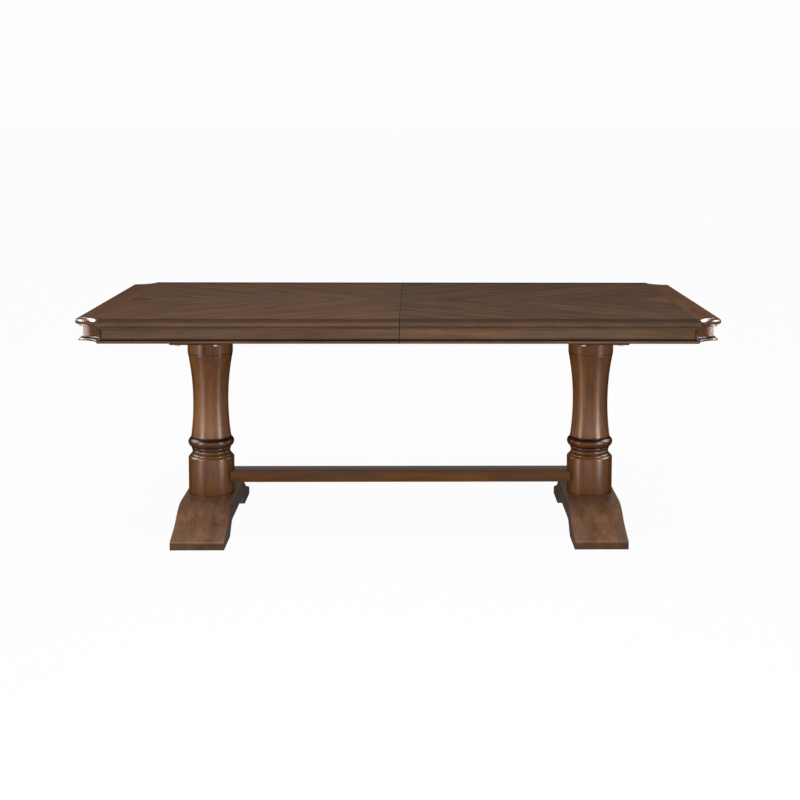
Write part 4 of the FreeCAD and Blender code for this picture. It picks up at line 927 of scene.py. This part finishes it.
# %% Cut the mortises
def block_mesh(name, low, high):
    """A plain block as a mesh, for cutting."""
    mesh = bpy.data.meshes.new(name)
    shape = bmesh.new()
    bmesh.ops.create_cube(shape, size=1.0)
    middle = (Vector(low) + Vector(high)) / 2
    for vert in shape.verts:
        vert.co = middle + Vector([vert.co[axis] * (high[axis] - low[axis]) for axis in range(3)])
    shape.to_mesh(mesh)
    shape.free()
    return mesh


def take_out(item, mesh):
    """Cuts a mesh, given in the table's frame, out of an object."""
    cutter = bpy.data.objects.new("cutter", mesh)
    scene.collection.objects.link(cutter)
    modifier = item.modifiers.new("cut", "BOOLEAN")
    modifier.object, modifier.operation, modifier.solver = cutter, "DIFFERENCE", "EXACT"
    bpy.context.view_layer.update()
    result = bpy.data.meshes.new_from_object(item.evaluated_get(bpy.context.evaluated_depsgraph_get()))
    item.modifiers.clear()
    item.data = result
    bpy.data.objects.remove(cutter)


for side, sign in SIDES:
    ends = sorted((sign * (PEDESTAL - MORTISE_FACE), sign * (PEDESTAL - MORTISE_BOTTOM)))
    take_out(columns[side], block_mesh("mortise", (ends[0], -MORTISE_HALF_WIDE, MORTISE_LOW),
                                       (ends[1], MORTISE_HALF_WIDE, MORTISE_HIGH)))
    print(columns[side].name, len(columns[side].data.polygons), "faces")

# %% [markdown]
# ## The feet and the stretcher
#
# A foot is sawn from one thick block: its side view is an outline of arcs that run smoothly into each
# other, and its width is straight. So the outline is drawn once and given a width, and its edges are
# rounded over as a router would, all but those underneath. A Bevel modifier on the whole block would round
# those too, but bmesh's bevel takes only the edges that it is given. The stretcher is a straight bar with
# four rounded edges, and its outline comes from the helper for sections.

# %% Outline of the feet
TOE_REACH, FOOT_WIDE, FOOT_TOP, FOOT_LOW = 0.357, 0.173, 0.102, 0.0015
ARCH_TALL = 0.042
SHOULDER_SLOPE, TOE_SLOPE = math.radians(30.75), math.radians(15.9)
FLAT = 0.322 * TOE_REACH
SHOULDER_RADIUS, HOLLOW_RADIUS, TOE_ROUND = 0.619 * TOE_REACH, 0.555 * TOE_REACH, 0.008
ROUTER_RADIUS, ARCH_HIGH, ARCH_END, SOLE_HIGH = 0.002, 0.0441, 0.2125, 0.002


def swept(centre, radius, first, last, steps):
    """Points of an arc about a centre, between two directions in radians."""
    return [Vector((centre[0] + radius * math.cos(first + (last - first) * step / steps),
                    centre[1] + radius * math.sin(first + (last - first) * step / steps)))
            for step in range(steps + 1)]


def foot_half():
    """The outline of half a foot, from the middle of the arch round the toe to the middle of the top."""
    arch = (0.499 * TOE_REACH, FOOT_LOW + 0.5 * ARCH_TALL)
    points = [Vector((0.0, FOOT_LOW + ARCH_TALL)), Vector((0.359 * TOE_REACH, FOOT_LOW + ARCH_TALL))]
    points += arc_between(points[-1], arch, -0.193, 8)
    points += arc_between(arch, (0.594 * TOE_REACH, FOOT_LOW), 0.109, 8)
    upright = math.pi / 2
    bend = (FLAT + SHOULDER_RADIUS * math.sin(SHOULDER_SLOPE),
            FOOT_TOP - SHOULDER_RADIUS * (1 - math.cos(SHOULDER_SLOPE)))
    hollow = (bend[0] + HOLLOW_RADIUS * math.sin(SHOULDER_SLOPE),
              bend[1] + HOLLOW_RADIUS * math.cos(SHOULDER_SLOPE))
    toe_line = (hollow[0] - HOLLOW_RADIUS * math.sin(TOE_SLOPE),
                hollow[1] - HOLLOW_RADIUS * math.cos(TOE_SLOPE))
    nose_x = TOE_REACH - TOE_ROUND * (1 - math.sin(TOE_SLOPE))
    nose_y = toe_line[1] - (nose_x - toe_line[0]) * math.tan(TOE_SLOPE)
    nose = (TOE_REACH - TOE_ROUND, nose_y - TOE_ROUND * math.cos(TOE_SLOPE))
    points.append(Vector((TOE_REACH, FOOT_LOW)))
    points += swept(nose, TOE_ROUND, 0.0, upright - TOE_SLOPE, 6)
    points += swept(hollow, HOLLOW_RADIUS, -upright - TOE_SLOPE, -upright - SHOULDER_SLOPE, 12)
    shoulder = (FLAT, FOOT_TOP - SHOULDER_RADIUS)
    points += swept(shoulder, SHOULDER_RADIUS, upright - SHOULDER_SLOPE, upright, 14)[1:]
    return points


half_outline = foot_half()
foot_outline = half_outline + [Vector((-y, z)) for y, z in reversed(half_outline)][1:-1]
print("points round a foot:", len(foot_outline))


# %% Saw and rout the feet
def routed(points, faces, radius, keeps_sharp):
    """Rounds over the outline edges of an upright slab, but those that a test keeps sharp."""
    shape = bmesh.new()
    verts = [shape.verts.new(point) for point in points]
    for face in faces:
        shape.faces.new([verts[index] for index in face])
    bmesh.ops.recalc_face_normals(shape, faces=shape.faces)
    chosen = [edge for edge in shape.edges
              if abs(edge.verts[0].co.x - edge.verts[1].co.x) < 1e-6 and not keeps_sharp(edge)]
    bmesh.ops.bevel(shape, geom=chosen, offset=radius, segments=4, profile=0.5, affect="EDGES",
                    clamp_overlap=True)
    bmesh.ops.triangulate(shape, faces=[face for face in shape.faces if len(face.verts) > 4])
    shape.verts.index_update()
    rounded_points = [vert.co.copy() for vert in shape.verts]
    rounded_faces = [tuple(vert.index for vert in face.verts) for face in shape.faces]
    shape.free()
    return rounded_points, rounded_faces


def slab(outline, x_low, x_high):
    """An outline in Y and Z made as thick as two places along X."""
    count = len(outline)
    points = [(x, y, z) for x in (x_low, x_high) for y, z in outline]
    faces = [tuple(range(count)), tuple(reversed(range(count, 2 * count)))]
    faces += [(number, (number + 1) % count, count + (number + 1) % count, count + number)
              for number in range(count)]
    return points, faces


def underneath(edge):
    """True for edges of the arch and of the soles, which stay sharp."""
    high = max(vert.co.z for vert in edge.verts)
    out = max(abs(vert.co.y) for vert in edge.verts)
    return high < SOLE_HIGH or (high < ARCH_HIGH and out < ARCH_END)


for side, sign in SIDES:
    points, faces = slab(foot_outline, sign * PEDESTAL - FOOT_WIDE / 2, sign * PEDESTAL + FOOT_WIDE / 2)
    points, faces = routed(points, faces, ROUTER_RADIUS, underneath)
    foot = new_piece(side + "_arched_foot", points, faces, (0, 1, 0), "base", side + "_foot", foot_wood_lightened,
                     "pedestal_wood", 25)
    print(foot.name, len(foot.data.polygons), "faces")

# %% Stretcher
BAR_HALF_WIDE, BAR_LOW, BAR_HIGH, BAR_REACH = 0.041, 0.143, 0.180, 0.5795
bar_corners = ((-BAR_HALF_WIDE, BAR_LOW), (BAR_HALF_WIDE, BAR_LOW), (BAR_HALF_WIDE, BAR_HIGH),
               (-BAR_HALF_WIDE, BAR_HIGH))
bar = rounded([(wide, high, ROUTER_RADIUS) for wide, high in bar_corners], 4)
points, faces = slab(bar, -BAR_REACH, BAR_REACH)
new_piece("stretcher_bar", points, faces, (1, 0, 0), "base", "stretcher", bar_wood, "pedestal_wood")
print("pieces so far:", len(made_pieces))

# %% [markdown]
# ## Plain finishes
#
# Under the top there is bare wood on the slides, bright zinc on the fasteners, brass on the gears and black
# paint on the mounting boards. A flat colour would do for a piece that nobody sees, but these show when the
# halves are pulled apart, or from below. So each gets a small graph, with the same groups for figure and
# edges.

# %% Plain finishes
def bare_wood(name, dark, light, vector_of=None, board_width=1.0):
    """Planed and waxed wood with no stain, which is nearly matt."""
    return lacquered_wood(name, dark, light, board_width=board_width, gloss=(0.06, 0.03),
                          coat_roughness=0.45, pore_depth=0.18, edge_reach=0.0, vector_of=vector_of)


def speckled(name, colour, other, metallic, rough, spec, scale, edge_colour, edge_share):
    """A paint or metal with a cloudy tone, uneven gloss and rubbed edges."""
    material, tree = finish_of(name)
    place = add_node(tree, "ShaderNodeTexCoord").outputs["Object"]
    cloud = noise(tree, scaled(tree, place, scale, scale, scale), 4.0, 0.65)
    shade = mixed(tree, remap(tree, cloud, 0.35, 0.65), colour, other)
    worn_and_shaded = add_node(tree, "ShaderNodeGroup", {"Vector": place, "Edge Reach": 0.0015}, node_tree=wear_and_shade_group)
    shade = mixed(tree, sums(tree, "MULTIPLY", worn_and_shaded.outputs["Edges"], edge_share), shade, edge_colour)
    bump = add_node(tree, "ShaderNodeBump", {"Strength": 0.2, "Distance": 0.0002, "Height": cloud})
    shader = add_node(tree, "ShaderNodeBsdfPrincipled", {
        "Base Color": shade, "Metallic": metallic, "Specular IOR Level": spec,
        "Normal": bump.outputs["Normal"],
        "Roughness": remap(tree, cloud, 0.3, 0.7, rough - 0.08, rough + 0.08)})
    add_node(tree, "ShaderNodeOutputMaterial", {"Surface": shader.outputs[0]})
    return material


print("finish helpers:", bare_wood.__name__, speckled.__name__)

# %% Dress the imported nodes
FINISHES = {
    "panel_core": bare_wood("panel underside", rgb(128, 96, 66), rgb(170, 134, 98), board_width=0.19),
    "slide_wood": bare_wood("slide wood", rgb(176, 138, 96), rgb(210, 176, 132)),
    "cross_wood": bare_wood("cross wood", rgb(176, 138, 96), rgb(210, 176, 132), vector_of=crosswise),
    "black_board": speckled("black board", rgb(30, 28, 27), rgb(44, 41, 39), metallic=0.0, rough=0.6,
                            spec=0.25, scale=60.0, edge_colour=rgb(74, 62, 50), edge_share=0.5),
    "zinc_steel": speckled("zinc plate", rgb(150, 147, 138), rgb(182, 178, 166), metallic=1.0, rough=0.34,
                           spec=0.5, scale=900.0, edge_colour=rgb(225, 224, 218), edge_share=0.6),
    "gear_brass": speckled("gear brass", rgb(176, 142, 78), rgb(198, 166, 100), metallic=1.0, rough=0.32,
                           spec=0.5, scale=500.0, edge_colour=rgb(226, 200, 140), edge_share=0.6),
    "glide_plastic": speckled("nylon glide", rgb(38, 32, 28), rgb(52, 45, 40), metallic=0.0, rough=0.5,
                              spec=0.4, scale=300.0, edge_colour=rgb(80, 70, 62), edge_share=0.4),
    "edge_wood": edge_finish["frieze"],
    "pedestal_wood": foot_wood_lightened,
    "top_veneer": field_veneer,
    "band_veneer": band_veneer,
}
CROSSWISE_NODES = ("centre_cleat", "left_glue_blocks", "right_glue_blocks")
slots = {entry["node"]: entry["material_slot"] for entry in frame["record"]["subparts"]}
for name, item in nodes.items():
    item.data.materials.clear()
    item.data.materials.append(FINISHES["cross_wood" if name in CROSSWISE_NODES else slots[name]])
print("CAD nodes dressed:", len(nodes))

# %% [markdown]
# ## Which lamp lights which piece
#
# Now that every piece is there, the lamps that are meant for certain pieces get theirs: a collection of
# the pieces whose names hold one of the lamp's words. The long straight mouldings are in none of them,
# because a panel that makes a small highlight in a scooped corner would draw a white stripe along them.

# %% Tie the lamps to their pieces
for lamp, words in lit_only.items():
    lit = bpy.data.collections.new("lit by " + lamp.name)
    for item in [piece for piece in made_pieces if any(word in piece.name for word in words)]:
        lit.objects.link(item)
    lamp.light_linking.receiver_collection = lit
